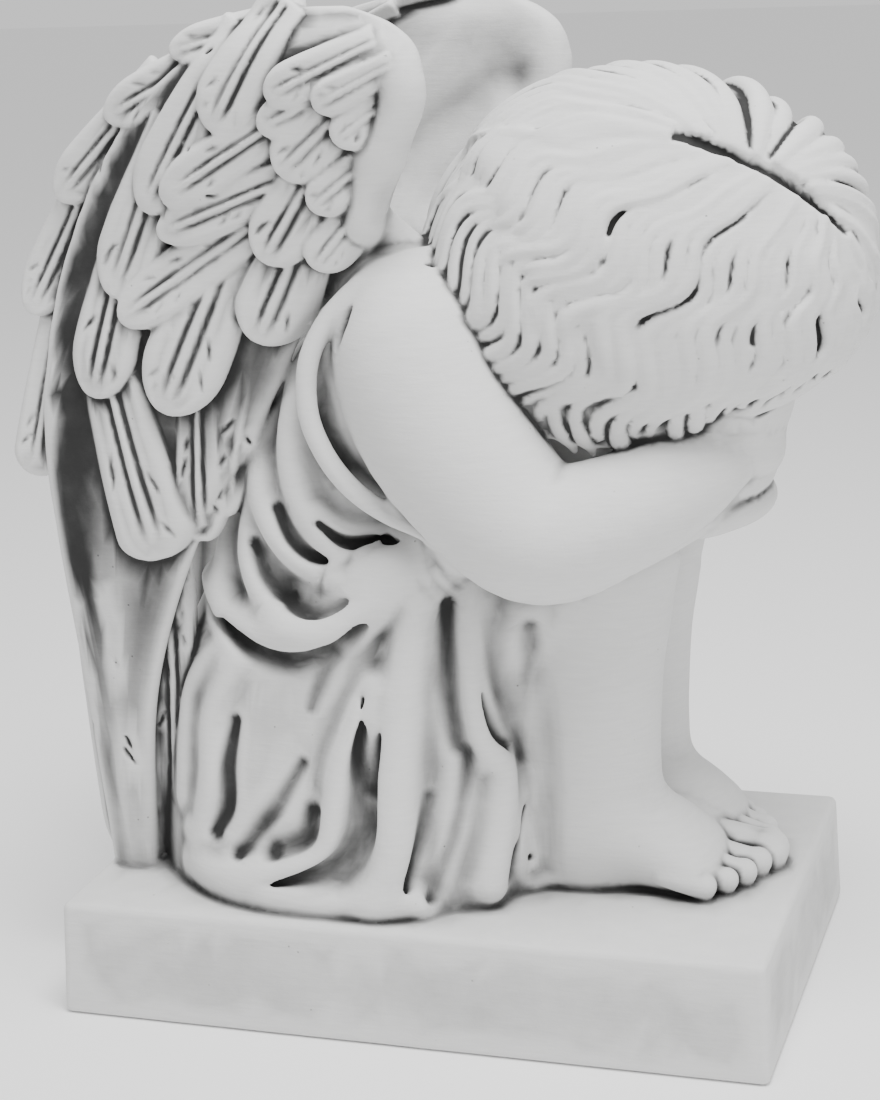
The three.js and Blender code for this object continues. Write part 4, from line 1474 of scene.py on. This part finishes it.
class ANGEL_OT_stage(bpy.types.Operator):
    """Set the floor, the lights and the camera"""
    bl_idname = "angel.stage"
    bl_label = "Stage"

    def execute(self, context):
        corners = np.array([[-1, -1, 0], [1, -1, 0], [1, 1, 0], [-1, 1, 0]]) * FLOOR_REACH
        floor = new_object("floor", new_mesh("floor", corners, [[0, 1, 2, 3]]))
        floor.data.materials.append(plain("floor_finish", (0.9, 0.9, 0.9), 0.9))
        world = bpy.data.worlds.new("studio")
        context.scene.world = world
        world.use_nodes = True
        world.node_tree.nodes["Background"].inputs["Color"].default_value = (1, 1, 1, 1)
        world.node_tree.nodes["Background"].inputs["Strength"].default_value = SKY
        for name, place, power in LAMPS:
            area_light(name, place, LAMP_AIM, LAMP_SIZE, power)
        set_camera(context.scene)
        return {"FINISHED"}


def area_light(name, place, aim, size, power):
    lamp = bpy.data.lights.new(name, "AREA")
    lamp.size = size
    lamp.energy = power
    thing = bpy.data.objects.new(name, lamp)
    thing.location = place
    thing.rotation_euler = (Vector(aim) - Vector(place)).to_track_quat("-Z", "Y").to_euler()
    bpy.context.scene.collection.objects.link(thing)


CAMERA_PLACE = Vector((0.3005, -0.942, 0.4509))
CAMERA_AZIMUTH = math.radians(18.0)
CAMERA_ELEVATION = math.radians(15.0)
CAMERA_ROLL = math.radians(-2.42)
CAMERA_LENS = 78.5


def set_camera(scene):
    azimuth, elevation, roll = CAMERA_AZIMUTH, CAMERA_ELEVATION, CAMERA_ROLL
    forward = Vector((-math.sin(azimuth) * math.cos(elevation), math.cos(azimuth) * math.cos(elevation),
                      -math.sin(elevation)))
    level = Vector((math.cos(azimuth), math.sin(azimuth), 0))
    up = level.cross(forward)
    right = math.cos(roll) * level + math.sin(roll) * up
    above = -math.sin(roll) * level + math.cos(roll) * up
    camera = bpy.data.cameras.new("camera")
    camera.lens = CAMERA_LENS
    thing = bpy.data.objects.new("camera", camera)
    turn = Matrix((right, above, -forward)).transposed().to_4x4()
    thing.matrix_world = Matrix.Translation(CAMERA_PLACE) @ turn
    scene.collection.objects.link(thing)
    scene.camera = thing


OPERATORS = (ANGEL_OT_feathers, ANGEL_OT_hair, ANGEL_OT_casting, ANGEL_OT_stage)


class ANGEL_PT_panel(bpy.types.Panel):
    """Sizes, colours and steps of the angel"""
    bl_idname = "ANGEL_PT_panel"
    bl_label = "Cemetery angel"
    bl_space_type = "VIEW_3D"
    bl_region_type = "UI"
    bl_category = "Angel"

    def draw(self, context):
        for group in (context.scene.angel_sizes, context.scene.angel_colours):
            for name in group.__annotations__:
                self.layout.prop(group, name)
        for operator in OPERATORS:
            self.layout.operator(operator.bl_idname)


CLASSES = (AngelSizes, AngelColours, *OPERATORS, ANGEL_PT_panel)


def register():
    for cls in CLASSES:
        bpy.utils.register_class(cls)
    bpy.types.Scene.angel_sizes = bpy.props.PointerProperty(type=AngelSizes)
    bpy.types.Scene.angel_colours = bpy.props.PointerProperty(type=AngelColours)


def unregister():
    del bpy.types.Scene.angel_colours
    del bpy.types.Scene.angel_sizes
    for cls in reversed(CLASSES):
        bpy.utils.unregister_class(cls)


def main():
    register()
    bpy.ops.angel.feathers()
    bpy.ops.angel.hair()
    bpy.ops.angel.casting()
    bpy.ops.angel.stage()
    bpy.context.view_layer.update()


if __name__ == "__main__":
    main()
